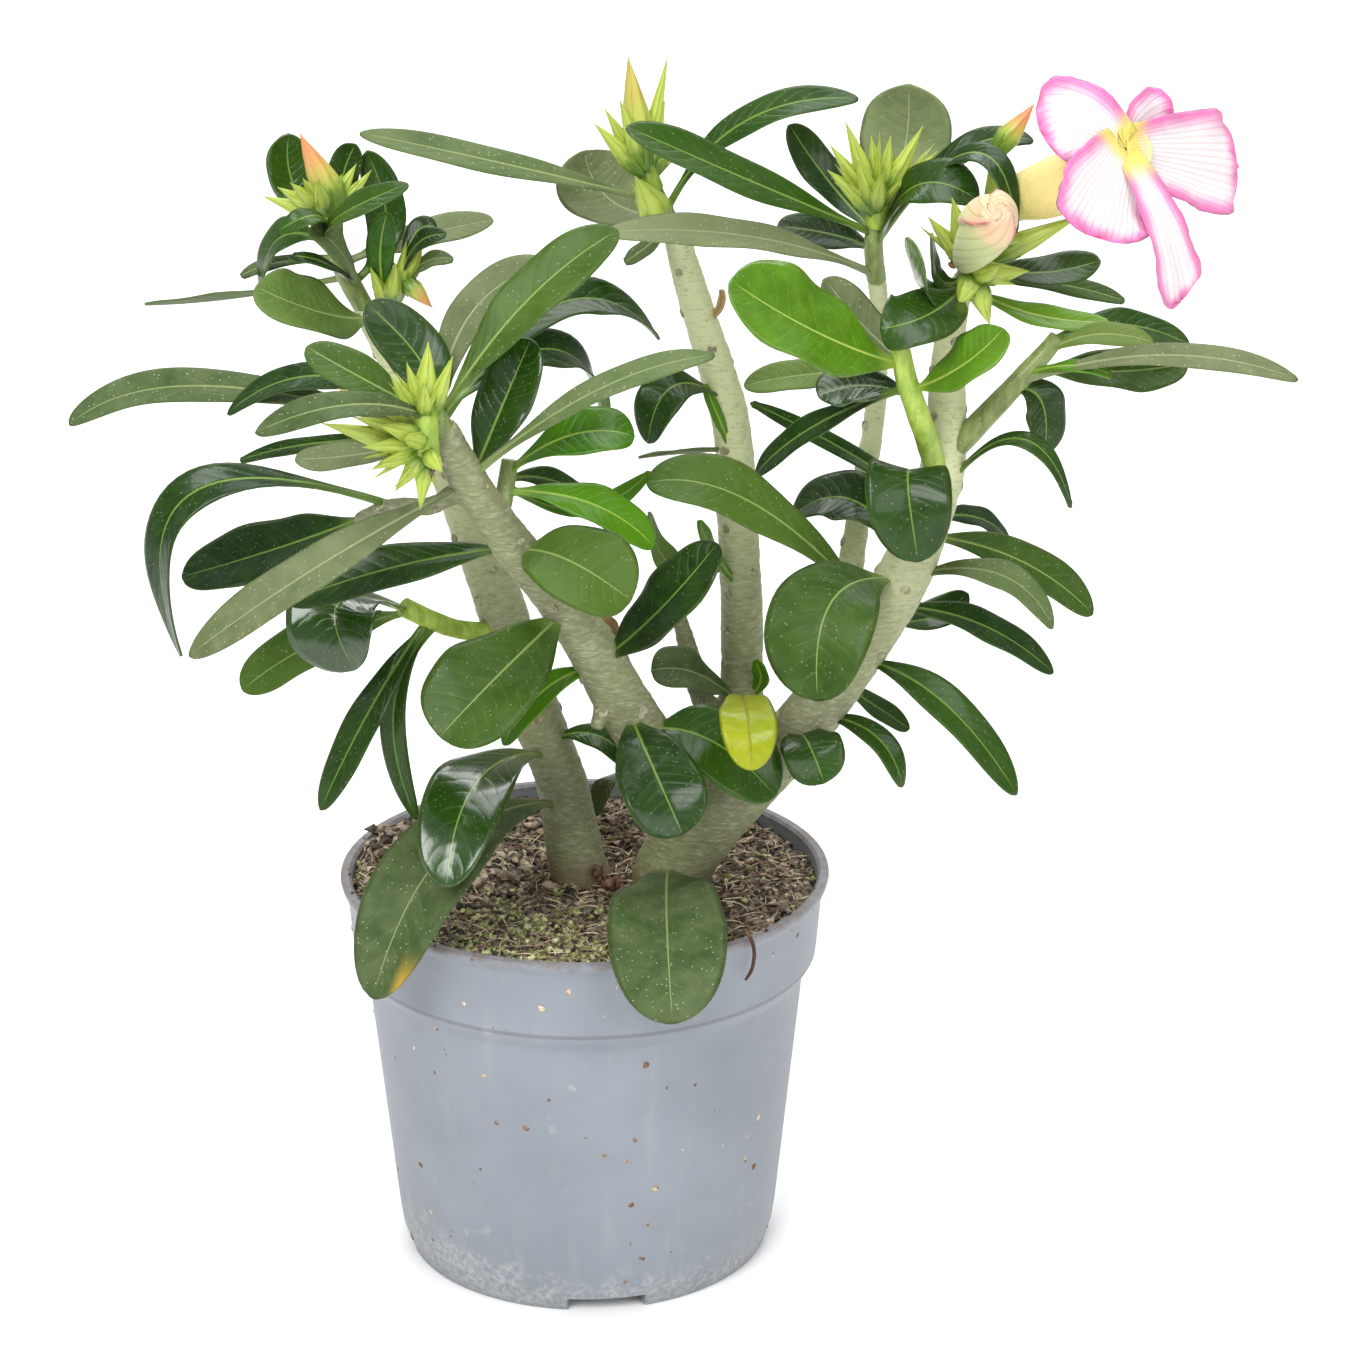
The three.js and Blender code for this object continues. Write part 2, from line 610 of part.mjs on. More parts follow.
const RIGHT_TOP_SHOOT = {
  stems: [[[69.3, 247, 17, 4.8], [68.5, 255, 14, 4.6], [69, 262, 12, 4.2]]],
  leaves: [
    { from: [68.5, 258, 13], via: [38, 271, -4], to: [11, 283, -10], width: 12.5 },
    { from: [69, 258, 13], via: [58, 270, 24], to: [48.5, 283.5, 24], width: 10 },
    { from: [69, 259, 13], via: [75, 276, 30], to: [76, 293, 30], width: 22 },
    { from: [69.3, 248, 16.5], via: [40, 257, -6], to: [6, 258, -12], width: 10 },
    { from: [69, 254, 15], via: [59, 257.5, 19], to: [46, 259.5, 19], width: 10 },
    { from: [69, 254, 14], via: [78, 269, 1], to: [92.5, 265.5, -5], width: 14 },
    { from: [69, 257, 14], via: [88, 277, 16], to: [105, 279.5, 16], width: 7.5 },
    { from: [69, 256, 14], via: [91, 277, -2], to: [101.5, 258, -13], width: 7 },
  ],
};
const RIGHT_TOP_BUDS = {
  stems: [[[69, 260.5, 12, 5.4], [70, 266, 9, 5.4]]],
  buds: [
    { from: [69, 263, 10], to: [57.5, 273, 1], width: 4.8 },
    { from: [69, 264, 10], to: [58, 279, 4], width: 4.8 },
    { from: [69, 265, 9], to: [61.5, 284.5, 3], width: 5 },
    { from: [69, 264, 8], to: [64, 276, -4], width: 4.8 },
    { from: [70, 265, 10], to: [67.5, 281, 5], width: 4.8 },
    { from: [70, 265, 10], to: [72, 281, 8], width: 5 },
    { from: [70, 265, 9], to: [79.5, 283.5, 8], width: 4.8 },
    { from: [70, 264, 10], to: [83, 277.5, 6], width: 4.6 },
    { from: [69, 264, 8], to: [70, 272, -6], width: 4.6 },
  ],
};
const FLOWER_SHOOT = {
  stems: [[[89.5, 244.5, 2, 5.8], [91, 250, 0, 5], [92, 254, -1, 4.4]]],
  leaves: [
    { from: [90, 246, 1], via: [81, 244, -13], to: [76.5, 257, -17], width: 15 },
    { from: [90.5, 248, 1], via: [84, 247, -4], to: [82, 258, -6], width: 7 },
    { from: [90, 246, 1], via: [82, 238.5, -24], to: [70.5, 235, -29], width: 17 },
    { from: [91, 250, 0], via: [108, 248.5, 6], to: [121.5, 251.5, 6], width: 10 },
    { from: [90.5, 247, 1], via: [110, 246, 12], to: [127.5, 241.5, 12], width: 6.5 },
    { from: [90, 245.5, 1], via: [106, 238.5, 0], to: [124, 236.5, -2], width: 7 },
  ],
};
const FLOWER_SHOOT_BUDS = {
  stems: [
    [[91, 252, -3, 5], [92.5, 247, -10, 5.6]],
    [[92, 250, -6, 3.6], [95, 264, 9, 3.2], [97, 278, 9, 3.6]],
  ],
  buds: [
    { from: [91, 251, -6], to: [86.5, 266.5, -16], width: 6 },
    { from: [91, 250, -6], to: [81, 262, -13], width: 5 },
    { from: [92, 248, -9], to: [88.5, 240, -14], width: 5.6 },
    { from: [92.5, 248, -9], to: [98, 250.5, -18], width: 5.6 },
    { from: [92.5, 248, -9], to: [105, 249, -12], width: 5.6 },
    { from: [92.5, 247, -9], to: [96, 236, -12], width: 5.6 },
    { from: [93, 251, -3], to: [117, 262.5, -5], width: 6 },
    { from: [96.5, 277, 9], to: [105, 288.5, 8], width: 5.8 },
  ],
};
const RIGHT_SHOOT = {
  stems: [
    [[86, 203, -8, 6.2], [95, 213, -9, 5.5], [103, 222, -7, 5], [109, 229, -5, 4.4], [112, 233, -5, 4]],
  ],
  leaves: [
    { from: [106, 225.5, -6], via: [126, 224.5, 5], to: [143, 226.5, 7], width: 14 },
    { from: [103, 222, -7], via: [137, 228.5, -22], to: [169, 222.5, -25], width: 7.5 },
    { from: [111, 232, -5], via: [126, 236, 7], to: [143, 231, 9], width: 9.5 },
    { from: [109, 229, -5], via: [121, 233.5, -10], to: [134.5, 231.5, -12], width: 7 },
    { from: [105, 224, -6.5], via: [116, 226, -14], to: [125, 223.5, -15], width: 4 },
    { from: [101, 220, -7.5], via: [108.5, 217.5, -8], to: [109.5, 204, -8], width: 11.5 },
  ],
};
const YOUNG_SHOOT = {
  stems: [[[84.5, 200, -10, 5.6], [80.5, 212, -19, 5.4], [77, 222, -22, 5.2], [75, 231, -23, 4.4]]],
  leaves: [
    { from: [76, 226, -22], via: [55.5, 234, -34], to: [35, 246.5, -38], width: 26 },
    { from: [78, 220, -21.5], via: [90, 226, -30], to: [99.5, 235, -30], width: 13.5 },
    { from: [76, 227, -22], via: [67, 235, -12], to: [57, 247, -10], width: 11 },
    { from: [78, 219, -21], via: [66, 221, -16], to: [56, 218.5, -16], width: 12 },
    { from: [77.5, 221, -22], via: [55, 211, -14], to: [41.5, 199, -8], width: 8 },
  ],
};
const LOW_LEFT_SHOOT = {
  stems: [[[-17, 160, 8, 5], [-28, 160, 2, 4.6], [-36, 162.5, -4, 4.8], [-43, 166, -8, 5]]],
  leaves: [
    { from: [-41, 165, -7], via: [-58.5, 167, -20], to: [-55, 150, -27], width: 23 },
    { from: [-41, 165, -7], via: [-64, 157, -2], to: [-82.5, 144.5, -4], width: 15 },
    { from: [-37, 163, -5], via: [-51, 141, -14], to: [-64.5, 113.5, -16], width: 9 },
    { from: [-35, 162, -4], via: [-46, 140, -8], to: [-41, 111, -6], width: 6.5 },
  ],
};
const INNER_SHOOT = {
  stems: [[[-20, 187, -34, 4.6], [-18.5, 194, -30, 4.4], [-17, 203, -28, 4]]],
  leaves: [
    { from: [-17.5, 200, -28.5], via: [-2, 209, -36], to: [12.5, 208.5, -36], width: 13.5 },
    { from: [-18, 198, -29], via: [-8, 198, -20], to: [3, 192, -16], width: 7.5 },
    { from: [-18.5, 195, -30], via: [2, 192, -33], to: [17, 181, -33], width: 11 },
    { from: [-18, 197, -29], via: [0, 190.5, -19], to: [16.5, 200, -15], width: 6 },
  ],
};

// Leaves that grow straight from the old wood, from the left round to the right

const LONE_LEAVES = {
  leaf_over_rim_left: { from: [-5, 115, 4], via: [-33, 104, -37], to: [-53, 63, -57], width: 22 },
  leaf_glossy_left: { from: [-8.5, 128, 5], via: [-26, 121, -36], to: [-34, 93, -58], width: 19 },
  leaf_short_dark: { from: [-9, 131, 5], via: [3, 133, -3], to: [13, 123, -6], width: 8 },
  leaf_big_front: { from: [-4, 165, -25], via: [-20, 149, -44], to: [-35, 132.5, -54], width: 25 },
  leaf_bright_narrow: { from: [5, 151, -18.5], via: [-9, 145, -24], to: [-19.5, 130.5, -26], width: 8 },
  leaf_left_hook: { from: [-46, 192, -31.5], via: [-93.5, 194, -34], to: [-97, 153.5, -38], width: 12 },
  leaf_left_broad: { from: [-51, 189, -29], via: [-72, 181, -20], to: [-96, 173.5, -16], width: 17 },
  leaf_left_straight: { from: [-27, 197, -38], via: [-62, 177, -54], to: [-95, 153.5, -52], width: 12 },
  leaf_left_dark: { from: [-16, 181, -32], via: [-43, 176.5, -34], to: [-71, 167, -37], width: 12.5 },
  leaf_front_round: { from: [-15, 180, -31], via: [-4, 178, -46], to: [11.5, 167.5, -50], width: 22 },
  leaf_inner_narrow: { from: [-27, 198, -39], via: [3, 219.5, -46], to: [31.5, 228.5, -42], width: 7.5 },
  leaf_inner_glossy: { from: [-26, 198, -38.5], via: [-19, 215, -36.5], to: [-11.5, 232.5, -34], width: 14 },
  leaf_centre_dark: { from: [4, 152, -19], via: [18, 164.5, -28], to: [32.5, 182, -28], width: 15.5 },
  leaf_centre_low: { from: [11, 139, -14], via: [17, 124, -36], to: [24, 107, -46], width: 20 },
  leaf_centre_broad: { from: [14, 134, -12], via: [30, 132, -22], to: [46.5, 117, -26], width: 20 },
  leaf_middle_small: { from: [38, 141, 10], via: [27, 149, -3], to: [16.5, 149.5, -6], width: 13 },
  leaf_middle_low: { from: [38, 171, 15], via: [31, 180, 4], to: [28, 188, 2], width: 6 },
  leaf_middle_brown: { from: [38, 178, 16], via: [22, 176, 12], to: [16, 190, 10], width: 9 },
  leaf_middle_left: { from: [35, 217, 18], via: [22, 221, 6], to: [16, 207, 2], width: 12 },
  leaf_middle_edge: { from: [36, 206, 18], via: [24, 205, 12], to: [13.5, 203.5, 10], width: 6, roll: 50 },
  leaf_right_low_round: { from: [52, 133, -6], via: [54.5, 131, -19], to: [58.5, 120.5, -24], width: 15 },
  leaf_right_low: { from: [55, 138, -7], via: [70, 133.5, -14], to: [77.5, 119.5, -16], width: 7 },
  leaf_right_small: { from: [61, 147, -8], via: [70, 141, -2], to: [79, 134.5, 0], width: 7 },
  leaf_right_long: { from: [65, 153, -8.5], via: [86, 142.5, -16], to: [105.5, 117.5, -18], width: 10.5 },
  leaf_big_round: { from: [76, 172.5, -9], via: [60, 167.5, -30], to: [57, 142, -38], width: 25.5 },
  leaf_right_dark: { from: [71, 163, -9], via: [83, 163, 6], to: [92.5, 169.5, 10], width: 9 },
  leaf_right_lower: { from: [73, 166, -9], via: [94.5, 162, 0], to: [113.5, 149, 2], width: 9.5 },
  leaf_right_arched: { from: [77, 173, -9], via: [99, 174.5, -16], to: [113, 160.5, -18], width: 8.5 },
  leaf_right_broad: { from: [81, 184, -9], via: [104, 178, -6], to: [122.5, 164, -6], width: 12 },
  leaf_right_upper: { from: [83, 188, -9], via: [94, 188.5, 3], to: [102, 182.5, 6], width: 8 },
  leaf_right_hooked: { from: [86, 196, -8], via: [104, 208, -18], to: [116.5, 191, -20], width: 5.5 },
  leaf_right_face: { from: [81, 195, -10], via: [77.5, 199, -27], to: [80.5, 177.5, -32], width: 20 },
  leaf_long_centre: { from: [71, 163.5, -9], via: [41.5, 191.5, -22], to: [15.5, 197, -24], width: 16 },
  leaf_dark_centre: { from: [78, 178, -9], via: [64, 193, 3], to: [50, 188, 6], width: 16 },
  leaf_narrow_right: { from: [83, 190, -9], via: [66, 203, 2], to: [40, 217, 4], width: 5.5 },
  leaf_pale_back: { from: [69.8, 224, 23], via: [55, 224, 30], to: [38.5, 221, 32], width: 10 },
  leaf_over_rim_front: { from: [20.5, 98, -2], via: [20, 86, -46], to: [21.5, 56, -72], width: 28 },
  leaf_back_arch: { from: [21, 101, -2], via: [10, 123, 28], to: [3, 112, 40], width: 9 },
};
const YELLOW_LEAF = { from: [38, 143, 10], via: [39.5, 139.5, -27], to: [41, 124, -37], width: 13.5 };

// The bloom and the two large buds beside it

const FUNNEL = [
  [91.5, 252, -1, 4],
  [95.5, 259, 1, 5],
  [101, 265.5, 0, 10],
  [109, 268.5, -6, 13.5],
  [118, 272.5, -13, 13.5],
  [126, 277, -21, 12],
];
const THROAT = [
  [114, 270.5, -10, 4],
  [121, 274, -16, 7],
  [128.5, 278.5, -24, 10],
];
const PETALS = [
  { from: [125, 279.5, -20], via: [116, 284, -25], to: [106.5, 282, -24], width: 23 },
  { from: [126.5, 279.5, -19.5], via: [131, 283.5, -15], to: [137, 285.5, -9], width: 15 },
  { from: [127.5, 275.5, -20.5], via: [140, 275.5, -13], to: [152.5, 273.5, 2], width: 26 },
  { from: [125.5, 277, -22], via: [122, 268.5, -35], to: [118, 257.5, -41], width: 27 },
  { from: [127.5, 274, -21.5], via: [136, 259.5, -31], to: [140.5, 241.5, -27], width: 14 },
];
const ROLLED_BUD = [
  [90.5, 250.5, -2, 3.6],
  [90.5, 252, -11, 7],
  [93.5, 257, -21, 12],
  [96, 261.5, -30, 12.6],
  [97, 263.5, -36, 6.5],
];
const PETAL_FACING = new THREE.Vector3(0.55, -0.75, 0.36);

function petal({ from, via, to, width }, grow) {
  return blade(arc(from, via, to), {
    width: width + 2 * grow,
    outline: petalOutline,
    foot: 0,
    thickness: PETAL_THICKNESS + 2 * grow,
    fold: PETAL_FOLD,
    roll: 0,
    facing: PETAL_FACING,
  });
}

function bloomSolid(grow) {
  const petals = PETALS.map((row) => petal(row, grow));
  return joinAll([limb(FUNNEL, grow, LIMB_SIDES), ...petals]).subtract(limb(THROAT, -grow, LIMB_SIDES));
}

/** A shoot or a bunch of buds: stems, with the leaves and buds that grow from them. */
function growthSolid({ stems, leaves = [], buds = [] }, grow) {
  return joinAll([
    ...stems.map((rows) => limb(rows, grow, TWIG_SIDES)),
    ...leaves.map((row) => leaf(row, grow)),
    ...buds.map((row) => bud(row, grow)),
  ]);
}

// Putting the plant together

const object = new THREE.Group();
const woodRoom = leftWood(CLEARANCE).add(rightWood(CLEARANCE));

function addPiece(name, solid, material) {
  const mesh = new THREE.Mesh(toGeometry(mainBody(solid, name)), material);
  mesh.name = name;
  object.add(mesh);
}

addPiece("pot", potSolid(), potPlastic);
addPiece("soil", soilSolid().subtract(woodRoom), peat);
addPiece("stem_left", leftWood(0), bark);
addPiece("stem_right", rightWood(0), bark);

const HEADS = [
  ["upper_left", UPPER_LEFT_SHOOT, UPPER_LEFT_BUDS],
  ["upper_left_side", UPPER_LEFT_SIDE_SHOOT],
  ["front", FRONT_SHOOT, FRONT_BUDS],
  ["top", TOP_SHOOT, TOP_BUDS],
  ["right_top", RIGHT_TOP_SHOOT, RIGHT_TOP_BUDS],
  ["right", RIGHT_SHOOT],
  ["young", YOUNG_SHOOT],
  ["low_left", LOW_LEFT_SHOOT],
  ["inner", INNER_SHOOT],
];
for (const [head, shoot, bunch] of HEADS) {
  addPiece(`shoot_${head}`, growthSolid(shoot, 0).subtract(woodRoom), leafGreen);
  if (bunch) {
    const room = growthSolid(shoot, CLEARANCE).add(woodRoom);
    addPiece(`buds_${head}`, growthSolid(bunch, 0).subtract(room), budGreen);
  }
}

// The flower shoot carries the bloom, the rolled bud and its own bunch with the orange bud
const flowerPieces = [
  ["shoot_flower", (grow) => growthSolid(FLOWER_SHOOT, grow), leafGreen],
  ["buds_flower", (grow) => growthSolid(FLOWER_SHOOT_BUDS, grow), budGreen],
  ["bloom", bloomSolid, petalWhite],
  ["rolled_bud", (grow) => limb(ROLLED_BUD, grow, LIMB_SIDES), budPink],
];
let taken = woodRoom;
for (const [name, make, material] of flowerPieces) {
  addPiece(name, make(0).subtract(taken), material);
  taken = taken.add(make(CLEARANCE));
}

for (const [name, row] of Object.entries(LONE_LEAVES)) {
  addPiece(name, leaf(row, 0).subtract(woodRoom), shootGreen);
}
addPiece("yellow_leaf", leaf(YELLOW_LEAF, 0).subtract(woodRoom), leafYellow);

export default object;
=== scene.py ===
"""A potted desert rose in a 12 cm grow pot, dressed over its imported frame.

The frame has +Z up, +X to the right of someone who faces the pot, and +Y away from them.
Tables are in millimetres, and everything that reaches Blender is in metres.
"""

import logging
import math
import random
from collections.abc import Callable
from dataclasses import dataclass, field, replace
from enum import Enum

import bpy
import numpy as np
from bpy.types import Material, Mesh, Node, NodeSocket, NodeTree, Object
from mathutils import Matrix, Vector


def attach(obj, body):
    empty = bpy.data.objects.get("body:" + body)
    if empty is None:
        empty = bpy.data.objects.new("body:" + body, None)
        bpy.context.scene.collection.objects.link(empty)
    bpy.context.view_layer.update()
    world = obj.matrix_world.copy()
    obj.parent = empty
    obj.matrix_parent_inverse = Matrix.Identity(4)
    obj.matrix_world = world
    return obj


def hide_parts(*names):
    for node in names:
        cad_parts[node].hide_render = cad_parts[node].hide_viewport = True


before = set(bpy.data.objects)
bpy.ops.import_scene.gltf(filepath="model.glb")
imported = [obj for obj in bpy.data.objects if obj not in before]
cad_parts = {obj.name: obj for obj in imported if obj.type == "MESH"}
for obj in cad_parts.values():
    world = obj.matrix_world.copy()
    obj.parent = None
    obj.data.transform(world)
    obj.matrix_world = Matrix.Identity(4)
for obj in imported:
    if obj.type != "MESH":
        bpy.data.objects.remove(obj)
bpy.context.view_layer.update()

LOG = logging.getLogger("desert_rose")
BODY = "root"
MM = 0.001

# A place as the photograph shows it: across, up and behind, and in a chain also a width
Seen = tuple[float, ...]
Chain = tuple[Seen, ...]
Colour = tuple[float, float, float]
Value = NodeSocket | float | Colour | bool

# The front view that the plant's places were measured in, and the camera that looks from it
EYE_ACROSS = 24.1
EYE_UP = 488.6
EYE_DISTANCE = 939.7
CAMERA_PITCH_DEG = 20.0
CAMERA_LENS_MM = 108.9
CAMERA_SENSOR_MM = 36.0

# The pot
POT_HEIGHT = 98.5
RIM_RADIUS = 60.0
RIM_LIP = 1.5
COLLAR_TOP_RADIUS = 58.5
COLLAR_FOOT_RADIUS = 57.0
COLLAR_FOOT_HEIGHT = 79.0
BODY_TOP_RADIUS = 54.0
BODY_TOP_HEIGHT = 74.5
BODY_FOOT_RADIUS = 46.75
BODY_FOOT_HEIGHT = 6.0
FOOT_RADIUS = 45.0
FOOT_INNER_RADIUS = 42.0
PAD_RADIUS = 16.0
FLOOR_UNDERSIDE = 3.0
POT_WALL = 1.3
NOTCH_COUNT = 4
NOTCH_WIDTH = 19.0
NOTCH_HEIGHT = 3.4
NOTCH_TURN_DEG = 7.0
DRAIN_COUNT = 8
DRAIN_RADIUS = 4.0
DRAIN_CIRCLE_RADIUS = 34.0

# The soil
SOIL_LEVEL = 94.5
SOIL_ROUGHNESS = 1.1
SOIL_CLOD_WAVE = 0.39
SOIL_LONG_WAVE = 0.16
SOIL_MOUND_HEIGHT = 6.0
SOIL_MOUND = (-40.0, 16.0)
SOIL_MOUND_SPREAD = 17.0
SOIL_HEAP = (-48.0, 13.0)
SOIL_HEAP_SPREAD = 8.0
SOIL_GAP = 0.3
SOIL_EDGE = COLLAR_TOP_RADIUS - POT_WALL - 1.2

# The shaders' patterns
NOISE_ROUGHNESS = 0.6
SPECK_CORE = 0.6

# The growth
BARK_SQUEEZE = 2.6
BUD_PETALS = 5
BUD_SIDES = 30
BUD_ROWS = 17
BUD_WIDEST = 0.34
BUD_TWIST = 0.7
LEAF_FOLD = 0.2
PETIOLE_WIDTH = 2.2
WIDEST_SHARE = 0.62
PETAL_FOOT_SPREAD = 0.46
PETAL_END_SHARE = 0.45
PETAL_LONGEST_END = 0.4
LEAF_FACING = Vector((0.0, -0.6, 0.8))
PETAL_FACING = Vector((0.55, -0.75, 0.36))


def place(seen: Seen) -> Vector:
    """The point in space, in millimetres, of a place seen from the front.

    Args:
        seen: How far across, up and behind the pot's upright middle plane the place lies.

    Returns:
        The place in the frame's axes.
    """
    across, up, behind = seen[:3]
    spread = 1 + behind / EYE_DISTANCE
    return Vector(
        (
            EYE_ACROSS + (across - EYE_ACROSS) * spread,
            behind,
            EYE_UP + (up - EYE_UP) * spread,
        )
    )


def in_metres(lengths: tuple[float, ...]) -> tuple[float, ...]:
    """Lengths in millimetres, turned into metres."""
    return tuple(length * MM for length in lengths)


class Graph:
    """A node tree that is written as a chain of calls."""

    def __init__(self, tree: NodeTree) -> None:
        """Starts on a tree.

        Args:
            tree: The tree that gets the nodes.
        """
        self.tree = tree

    def feed(self, socket: NodeSocket, value: Value) -> None:
        """Links a socket, or sets it where the value is a plain one."""
        if isinstance(value, NodeSocket):
            self.tree.links.new(value, socket)
        else:
            socket.default_value = value

    def add(self, kind: str, inputs: dict[str | int, Value] | None = None, **settings: str | bool) -> Node:
        """Adds a node.

        Args:
            kind: The node's type.
            inputs: Socket names or numbers, with a value or a socket for each.
            settings: The node's own properties.

        Returns:
            The node.
        """
        node = self.tree.nodes.new(kind)
        for name, value in settings.items():
            setattr(node, name, value)
        for key, value in (inputs or {}).items():
            self.feed(node.inputs[key], value)
        return node

    def math(self, operation: str, *values: Value, clamp: bool = False) -> NodeSocket:
        """One step of arithmetic."""
        inputs = dict(enumerate(values))
        return self.add("ShaderNodeMath", inputs, operation=operation, use_clamp=clamp).outputs[0]

    def times(self, first: Value, second: Value, clamp: bool = False) -> NodeSocket:
        """One value times another."""
        return self.math("MULTIPLY", first, second, clamp=clamp)

    def scaled(self, value: Value, factor: Value, offset: Value, clamp: bool = False) -> NodeSocket:
        """A value times a factor, plus an offset."""
        return self.math("MULTIPLY_ADD", value, factor, offset, clamp=clamp)

    def rest(self, value: Value) -> NodeSocket:
        """What a value leaves of 1."""
        return self.math("SUBTRACT", 1.0, value)

    def band(self, value: Value, low: Value, high: Value) -> NodeSocket:
        """A smooth step from 0 at low to 1 at high."""
        inputs = {"Value": value, "From Min": low, "From Max": high}
        return self.add("ShaderNodeMapRange", inputs, interpolation_type="SMOOTHSTEP").outputs[0]


class Shader(Graph):
    """The node tree of one material, around its principled shader."""

    def __init__(self, name: str) -> None:
        """Starts a material.

        Args:
            name: The material's name.
        """
        self.material = bpy.data.materials.new(name)
        self.material.use_nodes = True
        super().__init__(self.material.node_tree)
        self.surface = self.tree.nodes["Principled BSDF"]

    def coordinates(self, stretch: Colour = (1.0, 1.0, 1.0)) -> NodeSocket:
        """Object coordinates, squeezed along each axis by stretch."""
        spot = self.add("ShaderNodeTexCoord").outputs["Object"]
        return self.add("ShaderNodeMapping", {"Vector": spot, "Scale": stretch}).outputs[0]

    def axis(self, letter: str) -> NodeSocket:
        """How far the place lies along the axis X, Y or Z, in metres."""
        return self.add("ShaderNodeSeparateXYZ", {0: self.coordinates()}).outputs[letter]

    def value(self, name: str) -> NodeSocket:
        """A value that the mesh carries at each point."""
        return self.add("ShaderNodeAttribute", attribute_name=name).outputs["Fac"]

    def noise(self, size: float, detail: float = 3.0, spot: NodeSocket | None = None) -> NodeSocket:
        """Cloudy noise from 0 to 1.

        Args:
            size: The size of its largest clouds in millimetres.
            detail: How many finer layers it has.
            spot: Where to read it, which is the object's own place if not given.

        Returns:
            The noise.
        """
        inputs = {
            "Vector": spot or self.coordinates(),
            "Scale": 1 / (size * MM),
            "Detail": detail,
            "Roughness": NOISE_ROUGHNESS,
        }
        return self.add("ShaderNodeTexNoise", inputs).outputs[0]

    def cells(self, size: float) -> tuple[NodeSocket, NodeSocket]:
        """A pattern of cells whose middles are about size millimetres apart.

        Returns:
            The distance to a cell's middle, and a chance value from 0 to 1 that each cell has.
        """
        inputs = {"Vector": self.coordinates(), "Scale": 1 / (size * MM)}
        cells = self.add("ShaderNodeTexVoronoi", inputs).outputs
        return cells["Distance"], self.add("ShaderNodeSeparateColor", {0: cells["Color"]}).outputs[0]

    def specks(self, size: float, share: float) -> NodeSocket:
        """Small round specks.

        Args:
            size: The distance between the middles of two specks in millimetres.
            share: How large a speck is, as a share of that distance.

        Returns:
            1 on a speck and 0 beside it. About half of the cells hold a speck.
        """
        distance, chance = self.cells(size)
        kept = self.math("GREATER_THAN", chance, 0.5)
        spot = self.band(distance, share, share * SPECK_CORE)
        return self.times(spot, kept)

    def mix(self, share: Value, first: Value, second: Value) -> NodeSocket:
        """A colour between two, by a share from 0 to 1."""
        node = self.add("ShaderNodeMix", {0: share}, data_type="RGBA")
        for socket, value in ((node.inputs[6], first), (node.inputs[7], second)):
            self.feed(socket, value if isinstance(value, NodeSocket) else (*value, 1.0))
        return node.outputs[2]

    def bump(self, height: NodeSocket, depth: float) -> NodeSocket:
        """Relief from a height between 0 and 1.

        Args:
            height: The height at each place.
            depth: How many millimetres a height of 1 stands up.

        Returns:
            The normal.
        """
        return self.add("ShaderNodeBump", {"Height": height, "Distance": depth * MM}).outputs[0]

    def finish(
        self, colour: Value, roughness: Value, normal: NodeSocket | None = None, **fixed: float | Colour
    ) -> Material:
        """Feeds the principled shader.

        Args:
            colour: The base colour.
            roughness: The roughness.
            normal: The relief.
            fixed: Plain values for the shader's other sockets, with _ for a space.

        Returns:
            The material.
        """
        self.feed(self.surface.inputs["Base Color"], colour)
        self.feed(self.surface.inputs["Roughness"], roughness)
        if normal is not None:
            self.feed(self.surface.inputs["Normal"], normal)
        for name, value in fixed.items():
            self.surface.inputs[name.replace("_", " ")].default_value = value
        return self.material


